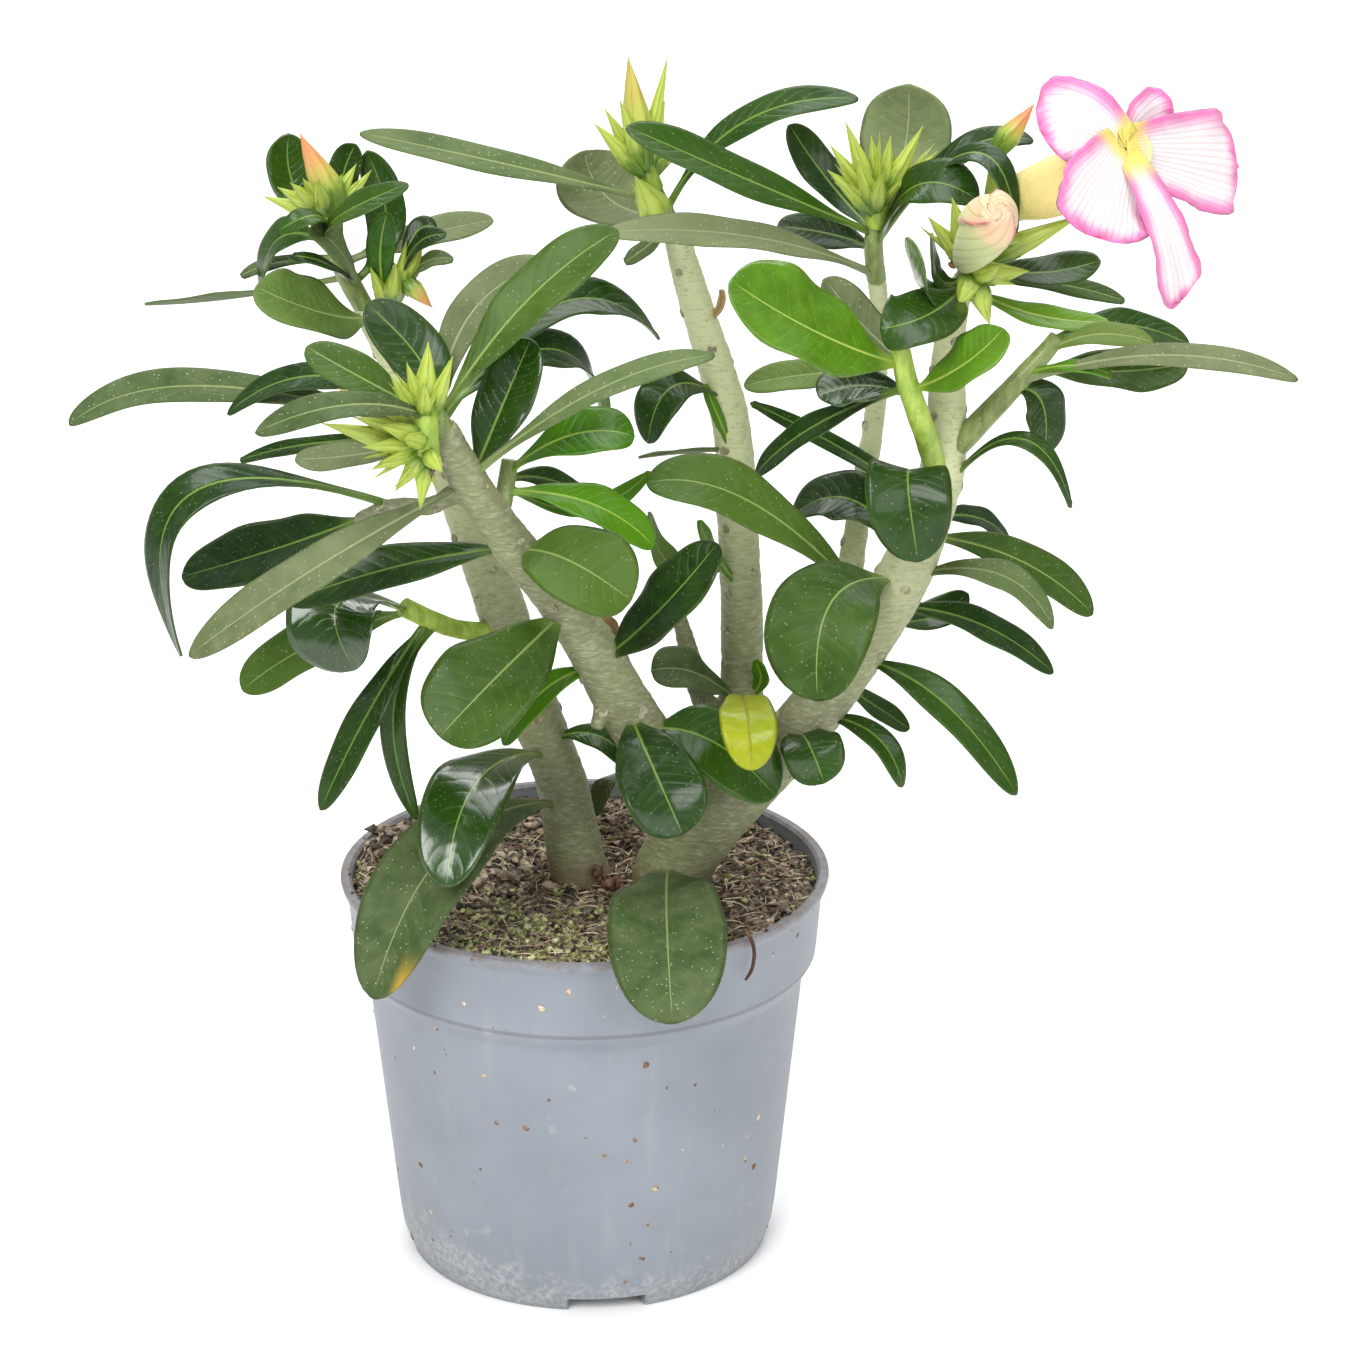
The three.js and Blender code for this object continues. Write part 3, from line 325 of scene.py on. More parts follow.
@dataclass(frozen=True)
class LeafFinish:
    """A leaf's skin: green lamina, pale midrib, fine side veins, dust and specks.

    In every finish the sizes and heights are in millimetres, and what is mixed in has a share from 0 to 1.
    """

    name: str
    dark: Colour
    light: Colour
    under: Colour
    rib: Colour
    roughness: float
    dust: float
    coat: float = 0.02
    shine: float = 0.17
    vein: float = 0.16
    vein_count: float = 13.0
    yellow_tip: float = 0.0
    tip: Colour = (0.42, 0.27, 0.03)
    film: Colour = (0.3, 0.33, 0.17)
    grain: Colour = (0.5, 0.52, 0.4)
    cloud_size: float = 16.0
    mottle_size: float = 3.2
    film_size: float = 7.0
    grain_spacing: float = 1.15
    pore_size: float = 1.6
    wander_size: float = 9.0
    gap_size: float = 5.0
    relief: float = 0.3
    coat_roughness: float = 0.12
    rib_width: float = 0.45
    rib_taper: float = 0.3
    stalk_end: tuple[float, float] = (0.06, 0.2)

    def material(self) -> Material:
        """Builds the material from the values that a leaf's mesh carries."""
        s = Shader(self.name)
        across = s.value("across")
        along = s.value("along")
        far = s.math("ABSOLUTE", across)
        side = s.math("DIVIDE", far, s.math("MAXIMUM", s.value("half"), 0.05))
        rib = self.rib_share(s, far, along)
        vein, quilt = self.veins(s, across, side, along)
        tone = s.scaled(s.noise(self.cloud_size), 0.7, s.times(s.value("shade"), 0.5))
        lamina = s.mix(s.band(tone, 0.3, 0.9), self.dark, self.light)
        lamina = s.mix(s.times(s.band(s.noise(self.mottle_size, 5), 0.35, 0.75), 0.4), lamina, self.light)
        lamina = s.mix(s.times(vein, self.vein), lamina, self.rib)
        rim = s.times(s.band(side, 0.95, 1.0), s.band(along, 0.12, 0.3))
        top = s.mix(s.times(rim, 0.4), lamina, self.rib)
        top = s.mix(s.times(rib, 0.85), top, self.rib)
        below = s.mix(s.times(vein, 0.35), self.under, self.rib)
        below = s.mix(s.times(rib, 0.8), below, self.rib)
        colour = s.mix(s.value("under"), top, below)
        tip = s.times(s.band(along, 0.84, 0.97), s.band(across, -3.0, -6.0))
        colour = s.mix(s.times(tip, self.yellow_tip), colour, self.tip)
        film = s.times(s.band(s.noise(self.film_size, 4), 0.3, 0.8), self.dust)
        colour = s.mix(s.times(film, 0.2), colour, self.film)
        grain = s.times(s.specks(self.grain_spacing, 0.2), s.scaled(self.dust, 0.7, 0.3))
        colour = s.mix(s.times(grain, 0.5), colour, self.grain)
        roughness = s.scaled(film, 0.22, self.roughness)
        height = s.scaled(quilt, 0.35, s.times(s.noise(self.pore_size, 3), 0.2))
        height = s.math("SUBTRACT", height, s.times(rib, 0.5))
        fixed = {
            "Coat_Weight": self.coat,
            "Coat_Roughness": self.coat_roughness,
            "Specular_IOR_Level": self.shine,
        }
        return s.finish(colour, roughness, s.bump(height, self.relief), **fixed)

    def rib_share(self, s: Shader, far: NodeSocket, along: NodeSocket) -> NodeSocket:
        """1 on the midrib and the leaf's stalk, 0 beside them."""
        reach = s.scaled(along, -self.rib_taper, self.rib_width)
        line = s.rest(s.band(far, s.times(reach, 0.55), s.times(reach, 1.25)))
        line = s.times(line, s.rest(s.band(along, 0.9, 1.0)))
        stalk = s.rest(s.band(along, *self.stalk_end))
        return s.math("MAXIMUM", line, s.times(stalk, 0.75))

    def veins(
        self, s: Shader, across: NodeSocket, side: NodeSocket, along: NodeSocket
    ) -> tuple[NodeSocket, NodeSocket]:
        """The side veins, which leave the midrib in turns left and right and curve to the tip.

        Returns:
            1 on a vein, and the swelling of the skin between two veins.
        """
        left = s.times(s.math("GREATER_THAN", across, 0.0), 0.5)
        lean = s.times(side, s.scaled(side, 0.07, 0.1))
        wander = s.times(s.math("SUBTRACT", s.noise(self.wander_size, 2), 0.5), 0.55)
        phase = s.scaled(s.math("SUBTRACT", along, lean), self.vein_count, s.math("ADD", left, wander))
        swing = s.math("ABSOLUTE", s.scaled(s.math("FRACT", phase), 2.0, -1.0))
        line = s.times(s.band(swing, 0.8, 1.0), s.scaled(side, -0.75, 1.0))
        line = s.times(line, s.band(s.noise(self.gap_size, 3), 0.35, 0.65))
        quilt = s.rest(s.math("POWER", swing, 3.0))
        return line, s.times(quilt, s.scaled(side, -0.6, 1.0))


@dataclass(frozen=True)
class BarkFinish:
    """Smooth grey-green bark with fine wrinkles, pale specks and brown scuffs."""

    name: str
    grey: Colour
    green: Colour
    # Partly the paler bark of the young upper ends, and partly painted light: it is made lighter still for
    # the limbs that leaves shade.
    young: Colour
    young_from: float
    young_to: float
    # Depth band that fades the paler bark out towards the front. This is painted light: the well-lit front
    # limb keeps the darker bark.
    painted_light_depth: tuple[float, float] = (-30.0, -16.0)
    pale_wrinkle: Colour = (0.5, 0.5, 0.4)
    dark_wrinkle: Colour = (0.13, 0.13, 0.08)
    speck: Colour = (0.5, 0.5, 0.38)
    scuff: Colour = (0.2, 0.12, 0.07)
    earth: Colour = (0.16, 0.1, 0.06)
    cloud_size: float = 18.0
    wrinkle_size: float = 2.2
    wrinkle_squeeze: float = 3.2
    speck_spacing: float = 1.3
    scuff_size: float = 5.0
    scuffed: tuple[float, float] = (170.0, 100.0)
    splash_size: float = 4.0
    splash_reach: float = 12.0
    splashed: tuple[float, float] = (112.0, 100.0)
    relief: float = 0.35

    def material(self) -> Material:
        """Builds the material from the place on the plant."""
        s = Shader(self.name)
        height = s.axis("Z")
        blend = s.band(s.noise(self.cloud_size, 4), 0.3, 0.72)
        colour = s.mix(blend, self.grey, self.green)
        # The upper ends of the limbs behind the front one take the paler bark. This is partly real young bark
        # and partly painted light that brightens limbs shaded by leaves.
        behind = s.axis("Y")
        ends = s.band(height, self.young_from * MM, self.young_to * MM)
        ends = s.times(ends, s.band(behind, *in_metres(self.painted_light_depth)))
        colour = s.mix(s.times(ends, 0.85), colour, self.young)
        wrinkles = s.noise(self.wrinkle_size, 5, s.coordinates((1.0, 1.0, self.wrinkle_squeeze)))
        colour = s.mix(s.times(s.band(wrinkles, 0.45, 0.75), 0.45), colour, self.pale_wrinkle)
        colour = s.mix(s.times(s.band(wrinkles, 0.5, 0.28), 0.45), colour, self.dark_wrinkle)
        pale = s.specks(self.speck_spacing, 0.16)
        colour = s.mix(s.times(pale, 0.35), colour, self.speck)
        patches = s.band(s.noise(self.scuff_size, 4), 0.6, 0.75)
        scuffs = s.times(patches, s.band(height, *in_metres(self.scuffed)))
        colour = s.mix(s.times(scuffs, 0.7), colour, self.scuff)
        ragged = s.scaled(s.noise(self.splash_size, 3), self.splash_reach * MM, height)
        earth = s.times(s.band(ragged, *in_metres(self.splashed)), 0.7)
        colour = s.mix(earth, colour, self.earth)
        relief = s.scaled(pale, 0.4, wrinkles)
        roughness = s.scaled(wrinkles, 0.25, 0.42)
        return s.finish(colour, roughness, s.bump(relief, self.relief), Specular_IOR_Level=0.4)


@dataclass(frozen=True)
class StalkFinish:
    """The soft green skin of young stems, streaked along their length."""

    name: str
    dark: Colour
    light: Colour
    speck: Colour = (0.7, 0.75, 0.45)
    streak_size: float = 2.4
    streak_squeeze: float = 0.3
    speck_spacing: float = 1.4
    relief: float = 0.25

    def material(self) -> Material:
        """Builds the material."""
        s = Shader(self.name)
        streaks = s.noise(self.streak_size, 4, s.coordinates((1.0, 1.0, self.streak_squeeze)))
        colour = s.mix(s.band(streaks, 0.3, 0.7), self.dark, self.light)
        pale = s.specks(self.speck_spacing, 0.18)
        colour = s.mix(s.times(pale, 0.4), colour, self.speck)
        roughness = s.scaled(streaks, 0.2, 0.35)
        return s.finish(colour, roughness, s.bump(streaks, self.relief), Coat_Weight=0.15)


@dataclass(frozen=True)
class BudFinish:
    """A bud's rolled petals: yellow-green with darker seams, and a tip that may blush."""

    name: str
    pale: Colour
    green: Colour
    blush: Colour
    streak_size: float = 1.5
    relief: float = 0.15

    def material(self) -> Material:
        """Builds the material from the values that a bud's mesh carries."""
        s = Shader(self.name)
        along = s.value("along")
        streaks = s.noise(self.streak_size, 4)
        foot = s.scaled(streaks, 0.5, s.band(along, 0.65, 0.0))
        colour = s.mix(s.band(foot, 0.25, 1.15), self.pale, self.green)
        seam = s.band(s.value("ridge"), 0.32, 0.0)
        colour = s.mix(s.times(seam, 0.55), colour, self.green)
        reach = s.times(s.band(along, 0.3, 0.85), s.value("blush"))
        colour = s.mix(s.scaled(seam, 0.2, reach, clamp=True), colour, self.blush)
        roughness = s.scaled(streaks, 0.15, 0.36)
        height = s.scaled(streaks, 0.3, s.value("ridge"))
        fixed = {"Coat_Weight": 0.1, "Subsurface_Weight": 0.12, "Subsurface_Radius": (0.9, 1.0, 0.3)}
        return s.finish(colour, roughness, s.bump(height, self.relief), Subsurface_Scale=MM, **fixed)


@dataclass(frozen=True)
class PetalFinish:
    """A petal: white with a breath of lilac, a wavy magenta margin and a yellow foot."""

    name: str
    white: Colour
    lilac: Colour
    margin: Colour
    throat: Colour
    margin_from: float
    margin_blur: float = 0.62
    cloud_size: float = 6.0
    wander_size: float = 5.0
    vein_count: float = 34.0
    relief: float = 0.16
    scatter: float = 1.2

    def material(self) -> Material:
        """Builds the material from the values that a petal's mesh carries."""
        s = Shader(self.name)
        along = s.value("along")
        across = s.value("across")
        edge = s.value("edge")
        clouds = s.noise(self.cloud_size, 4)
        streaks = self.streaks(s, across, along)
        tint = s.band(s.scaled(clouds, 0.5, s.times(edge, 0.75)), 0.3, 0.85)
        colour = s.mix(s.times(tint, 0.75), self.white, self.lilac)
        reach = s.scaled(clouds, 0.34, s.scaled(streaks, 0.08, edge))
        margin = s.band(reach, self.margin_from, self.margin_from + self.margin_blur)
        colour = s.mix(margin, colour, self.margin)
        colour = s.mix(s.times(streaks, 0.12), colour, self.margin)
        warm = s.scaled(streaks, 0.12, s.band(along, 0.24, 0.04))
        colour = s.mix(s.times(warm, 0.9, clamp=True), colour, self.throat)
        roughness = s.scaled(clouds, 0.15, 0.42)
        normal = s.bump(s.scaled(streaks, 0.6, clouds), self.relief)
        fixed = {"Subsurface_Weight": 0.3, "Subsurface_Radius": (1.0, 0.7, 0.7), "Sheen_Weight": 0.15}
        return s.finish(colour, roughness, normal, Subsurface_Scale=self.scatter * MM, **fixed)

    def streaks(self, s: Shader, across: NodeSocket, along: NodeSocket) -> NodeSocket:
        """Fine veins that fan out from the petal's foot."""
        fan = s.math("DIVIDE", across, s.scaled(along, 8.0, 3.0))
        wander = s.times(s.noise(self.wander_size, 3), 1.4)
        swing = s.math("SINE", s.scaled(fan, self.vein_count, wander))
        return s.band(swing, 0.55, 1.0)


@dataclass(frozen=True)
class PlasticFinish:
    """Matt blue-grey plastic with dirt specks, dried splashes, a lime bloom at the foot and a painted shadow
    line under the collar.
    """

    name: str
    grey: Colour
    shade: Colour
    lime: Colour
    earth: Colour
    # The colour of the painted shadow line just under the collar's foot edge.
    seam: Colour = (0.1, 0.1, 0.1)
    cloud_size: float = 38.0
    run_size: float = 7.0
    run_squeeze: float = 0.16
    scuff_size: float = 1.1
    splash_size: float = 8.0
    lime_size: float = 6.0
    lime_reach: float = 26.0
    lime_left: float = 8.0
    lime_blur: float = 12.0
    lime_grain: float = 1.3
    dirt_spacing: float = 7.5
    grit_spacing: float = 3.2
    grit_patch: float = 22.0
    brim_size: float = 3.0
    brim_reach: float = 8.0
    brim: tuple[float, float] = (100.0, 103.5)
    relief: float = 0.18

    def material(self) -> Material:
        """Builds the material from the place on the pot."""
        s = Shader(self.name)
        height = s.axis("Z")
        clouds = s.noise(self.cloud_size, 4)
        colour = s.mix(s.band(clouds, 0.3, 0.75), self.shade, self.grey)
        runs = s.noise(self.run_size, 4, s.coordinates((1.0, 1.0, self.run_squeeze)))
        colour = s.mix(s.times(s.band(runs, 0.55, 0.8), 0.16), colour, self.lime)
        scuffs = s.noise(self.scuff_size, 5)
        colour = s.mix(s.times(s.band(scuffs, 0.62, 0.8), 0.2), colour, self.lime)
        splash = s.times(s.band(s.noise(self.splash_size, 5), 0.66, 0.72), 0.32)
        colour = s.mix(splash, colour, self.lime)
        left = s.band(s.axis("X"), 0.0, -FOOT_RADIUS * MM)
        ragged = s.scaled(s.noise(self.lime_size, 5), self.lime_reach * MM, s.times(height, -1.0))
        ragged = s.scaled(left, self.lime_left * MM, ragged)
        grain = s.band(ragged, 0.0, self.lime_blur * MM)
        bloom = s.times(grain, s.band(s.noise(self.lime_grain, 4), 0.35, 0.65))
        colour = s.mix(s.times(bloom, 0.6), colour, self.lime)
        dirt = s.specks(self.dirt_spacing, 0.07)
        grit = s.times(s.specks(self.grit_spacing, 0.08), s.band(s.noise(self.grit_patch, 3), 0.5, 0.64))
        colour = s.mix(s.math("MAXIMUM", dirt, grit), colour, self.earth)
        # Painted shadow: a thin dark line just under the collar's foot edge, where the collar shades the
        # wall.
        under_collar = s.math("ABSOLUTE", s.math("SUBTRACT", height, (COLLAR_FOOT_HEIGHT - 0.5) * MM))
        seam = s.band(under_collar, *in_metres((0.8, 0.3)))
        colour = s.mix(s.times(seam, 0.5), colour, self.seam)
        ragged = s.scaled(s.noise(self.brim_size, 4), self.brim_reach * MM, height)
        brim = s.band(ragged, *in_metres(self.brim))
        colour = s.mix(s.times(brim, 0.55), colour, self.earth)
        roughness = s.scaled(bloom, 0.3, s.scaled(scuffs, 0.16, 0.42))
        relief = s.scaled(s.math("MAXIMUM", dirt, grit), 1.0, s.times(scuffs, 0.25))
        return s.finish(colour, roughness, s.bump(relief, self.relief), Specular_IOR_Level=0.45)


@dataclass(frozen=True)
class EarthFinish:
    """Peat, crumbs, fibres or grit: a colour for each crumb between two ends, and a rough skin."""

    name: str
    dark: Colour
    light: Colour
    crumb: float
    roughness: float = 0.92

    def material(self) -> Material:
        """Builds the material."""
        s = Shader(self.name)
        each = s.cells(self.crumb)[1]
        fine = s.noise(self.crumb * 0.5, 5)
        share = s.math("POWER", s.scaled(fine, 0.35, s.times(each, 0.8)), 2.4)
        colour = s.mix(share, self.dark, self.light)
        normal = s.bump(s.scaled(each, 0.5, fine), self.crumb * 0.4)
        return s.finish(colour, self.roughness, normal)


@dataclass(frozen=True)
class FloorFinish:
    """The plain pale studio floor."""

    name: str = "studio_floor"
    pale: Colour = (0.9, 0.9, 0.9)
    cloud_size: float = 400.0
    dimmest: float = 0.98

    def material(self) -> Material:
        """Builds the material, with the faintest unevenness."""
        s = Shader(self.name)
        dimmed = tuple(self.dimmest * part for part in self.pale)
        colour = s.mix(s.noise(self.cloud_size, 2), self.pale, dimmed)
        return s.finish(colour, 0.7, Specular_IOR_Level=0.2)


PlantFinish = LeafFinish | BarkFinish | StalkFinish | BudFinish | PetalFinish
Finish = PlantFinish | PlasticFinish | EarthFinish | FloorFinish


class Look(Enum):
    """How a leaf's skin looks in the photograph's light."""

    DUSTY = LeafFinish(
        "leaf_dusty", (0.03, 0.058, 0.013), (0.08, 0.122, 0.038), (0.085, 0.125, 0.045), (0.22, 0.28, 0.1),
        roughness=0.48, dust=0.8,
    )
    TIPPED = replace(DUSTY, name="leaf_tipped", yellow_tip=0.9)
    GREY = LeafFinish(
        "leaf_grey", (0.078, 0.103, 0.04), (0.145, 0.18, 0.08), (0.115, 0.145, 0.065), (0.27, 0.32, 0.16),
        roughness=0.52, dust=0.9,
    )
    SAGE = LeafFinish(
        "leaf_sage", (0.12, 0.158, 0.066), (0.215, 0.268, 0.12), (0.15, 0.19, 0.085), (0.34, 0.4, 0.21),
        roughness=0.5, dust=0.6,
    )
    FRESH = LeafFinish(
        "leaf_fresh", (0.019, 0.053, 0.002), (0.05, 0.104, 0.008), (0.09, 0.15, 0.035), (0.22, 0.31, 0.08),
        roughness=0.42, coat=0.04, dust=0.35,
    )
    DARK = LeafFinish(
        "leaf_dark", (0.003, 0.02, 0.0008), (0.02, 0.063, 0.002), (0.075, 0.13, 0.028), (0.15, 0.26, 0.04),
        roughness=0.3, coat=0.22, dust=0.2,
    )
    GLOSSY = LeafFinish(
        "leaf_glossy", (0.005, 0.026, 0.001), (0.022, 0.068, 0.004), (0.08, 0.135, 0.03), (0.17, 0.28, 0.05),
        roughness=0.2, coat=0.65, dust=0.05, shine=0.35,
    )
    BRIGHT = LeafFinish(
        "leaf_bright", (0.02, 0.088, 0.001), (0.06, 0.17, 0.003), (0.13, 0.25, 0.03), (0.26, 0.4, 0.06),
        roughness=0.3, coat=0.2, dust=0.03,
    )
    LIME = LeafFinish(
        "leaf_lime", (0.04, 0.115, 0.002), (0.1, 0.23, 0.009), (0.16, 0.29, 0.04), (0.34, 0.46, 0.08),
        roughness=0.28, coat=0.3, dust=0.03, vein=0.14,
    )
    PALE = LeafFinish(
        "leaf_pale", (0.065, 0.12, 0.018), (0.125, 0.195, 0.038), (0.14, 0.21, 0.06), (0.28, 0.36, 0.12),
        roughness=0.45, dust=0.3, vein=0.16,
    )
    OLD = LeafFinish(
        "leaf_old", (0.12, 0.19, 0.002), (0.34, 0.36, 0.006), (0.26, 0.28, 0.02), (0.24, 0.23, 0.015),
        roughness=0.36, coat=0.2, dust=0.05, vein=0.7,
    )
    DRY = LeafFinish(
        "leaf_dry", (0.16, 0.095, 0.035), (0.42, 0.28, 0.12), (0.2, 0.12, 0.06), (0.3, 0.2, 0.1),
        roughness=0.7, dust=0.2, vein=0.3,
    )


POT_PLASTIC = PlasticFinish(
    "pot_plastic", (0.238, 0.26, 0.294), (0.198, 0.218, 0.248), (0.46, 0.46, 0.44), (0.13, 0.075, 0.04)
)
PEAT = EarthFinish("peat", (0.016, 0.011, 0.008), (0.36, 0.28, 0.2), crumb=1.7)
PEAT_LUMP = EarthFinish("peat_lump", (0.01, 0.007, 0.005), (0.58, 0.46, 0.33), crumb=1.9)
LICHEN = EarthFinish("lichen", (0.13, 0.15, 0.03), (0.68, 0.68, 0.36), crumb=1.6)
SCAB = EarthFinish("scab", (0.04, 0.016, 0.009), (0.3, 0.15, 0.085), crumb=1.0, roughness=0.8)
SPLASH = EarthFinish("splash", (0.2, 0.1, 0.05), (0.85, 0.7, 0.52), crumb=3.0)
FIBRE = EarthFinish("fibre", (0.16, 0.08, 0.04), (0.85, 0.69, 0.48), crumb=3.0)
ROOT = EarthFinish("root", (0.05, 0.02, 0.01), (0.2, 0.1, 0.055), crumb=2.5)
GRIT = EarthFinish("grit", (0.35, 0.29, 0.2), (0.8, 0.72, 0.6), crumb=3.0)
# The third colour, the young ends' bark, is partly painted light: it is lighter than the bark so that the
# limbs which leaves shade come out brighter.
BARK = BarkFinish("bark", (0.18, 0.185, 0.1), (0.225, 0.25, 0.11), (0.56, 0.6, 0.33), 140, 215)
SCAR = EarthFinish("leaf_scar", (0.2, 0.18, 0.1), (0.5, 0.5, 0.33), crumb=1.2, roughness=0.7)
STALK = StalkFinish("young_stalk", (0.12, 0.17, 0.04), (0.24, 0.3, 0.09))
LIME_STALK = StalkFinish("lime_stalk", (0.2, 0.32, 0.03), (0.4, 0.52, 0.08))
BUD = BudFinish("bud", (0.38, 0.48, 0.07), (0.1, 0.2, 0.012), (0.62, 0.22, 0.09))
FUNNEL_SKIN = BudFinish("funnel_skin", (0.88, 0.68, 0.3), (0.5, 0.48, 0.14), (0.8, 0.36, 0.12))
PETAL = PetalFinish(
    "petal", (0.67, 0.635, 0.65), (0.68, 0.45, 0.6), (0.6, 0.11, 0.34), (0.72, 0.58, 0.06),
    margin_from=0.5,
)
ROLLED = PetalFinish(
    "rolled_petal", (0.5, 0.55, 0.26), (0.8, 0.34, 0.3), (0.36, 0.03, 0.05), (0.3, 0.42, 0.08),
    margin_from=0.8,
)


# Meshes


class Skin:
    """Collects rings of points into one mesh, with named values at each point.

    Every value has one number for each point, and a mesh's shader reads it by its name.
    """

    NAMES = ("across", "half", "along", "under", "shade", "edge", "ridge", "blush")

    def __init__(self) -> None:
        """Starts with no points."""
        self.points: list[np.ndarray] = []
        self.values: dict[str, list[np.ndarray]] = {name: [] for name in self.NAMES}
        self.faces: list[tuple[int, ...]] = []
        self.face_finishes: list[int] = []
        self.finishes: list[Material] = []
        self.count = 0

    def finish_number(self, material: Material | None) -> int:
        """The slot number of a material, which is added when it is new."""
        if material not in self.finishes:
            self.finishes.append(material)
        return self.finishes.index(material)

    def add(self, rings: np.ndarray, material: Material | None, **values: float | np.ndarray) -> None:
        """Joins rings of points one after another, and closes the first and the last one.

        Args:
            rings: Points in millimetres, as rows of rings.
            material: The finish of the faces, or none where a tree gives it later.
            values: Numbers, or arrays of one number for each point.
        """
        rows, columns = rings.shape[:2]
        numbers = self.count + np.arange(rows * columns).reshape(rows, columns)
        slot = self.finish_number(material)
        for here, after in zip(numbers, numbers[1:]):
            for i in range(columns):
                k = (i + 1) % columns
                self.faces.append((here[i], here[k], after[k], after[i]))
        self.faces.append(tuple(numbers[0][::-1]))
        self.faces.append(tuple(numbers[-1]))
        self.face_finishes += [slot] * (len(self.faces) - len(self.face_finishes))
        self.points.append(rings.reshape(-1, 3))
        for name in self.NAMES:
            full = np.broadcast_to(np.asarray(values.get(name, 0.0), float), (rows, columns))
            self.values[name].append(full.reshape(-1))
        self.count += rows * columns

    def mesh(self, name: str) -> Mesh:
        """The finished mesh, in metres."""
        mesh = bpy.data.meshes.new(name)
        mesh.from_pydata((np.concatenate(self.points) * MM).tolist(), [], self.faces)
        for material in self.finishes:
            mesh.materials.append(material)
        mesh.polygons.foreach_set("material_index", self.face_finishes)
        mesh.polygons.foreach_set("use_smooth", [True] * len(self.faces))
        for key, parts in self.values.items():
            numbers = np.concatenate(parts).astype(np.float32)
            if numbers.any():
                mark(mesh, key, numbers)
        mesh.validate()
        return mesh

    def piece(self, name: str) -> Object:
        """The finished mesh as an object at the origin."""
        return new_object(name, self.mesh(name))


def mark(mesh: Mesh, name: str, numbers: np.ndarray | list[float], vectors: bool = False) -> None:
    """Gives each point of a mesh a number, or a vector, by name."""
    kind, key = ("FLOAT_VECTOR", "vector") if vectors else ("FLOAT", "value")
    mesh.attributes.new(name, kind, "POINT").data.foreach_set(key, numbers)


def round_turns(count: int) -> np.ndarray:
    """Evenly spaced turns in radians, once round."""
    return np.linspace(0, math.tau, count + 1)[:-1]


def new_object(name: str, mesh: Mesh) -> Object:
    """Puts a mesh into the scene at the origin."""
    piece = bpy.data.objects.new(name, mesh)
    bpy.context.scene.collection.objects.link(piece)
    return piece


def settled(piece: Object) -> Object:
    """Turns what a piece's modifiers make into its own plain mesh, and removes them."""
    bpy.context.view_layer.update()
    graph = bpy.context.evaluated_depsgraph_get()
    mesh = bpy.data.meshes.new_from_object(
        piece.evaluated_get(graph), preserve_all_data_layers=True, depsgraph=graph
    )
    piece.modifiers.clear()
    old = piece.data
    piece.data = mesh
    bpy.data.meshes.remove(old)
    mesh.name = piece.name
    return piece


def joined(name: str, pieces: list[Object]) -> Object:
    """Joins several objects into one.

    Args:
        name: The joined object's name.
        pieces: Plain mesh objects at the origin.

    Returns:
        The joined object.
    """
    first = pieces[0]
    if len(pieces) > 1:
        with bpy.context.temp_override(active_object=first, selected_editable_objects=pieces):
            bpy.ops.object.join()
    first.name = name
    first.data.name = name
    return first


def hand_over(piece: Object, slot: str, *nodes: str) -> None:
    """Gives a piece its body, and hides the frame's nodes that it stands for."""
    if nodes:
        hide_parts(*nodes)
    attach(piece, BODY)
    triangles = sum(len(face.vertices) - 2 for face in piece.data.polygons)
    LOG.info("%s: %d triangles, stands for %s", piece.name, triangles, ", ".join(nodes) or "no node")


# Geometry Nodes


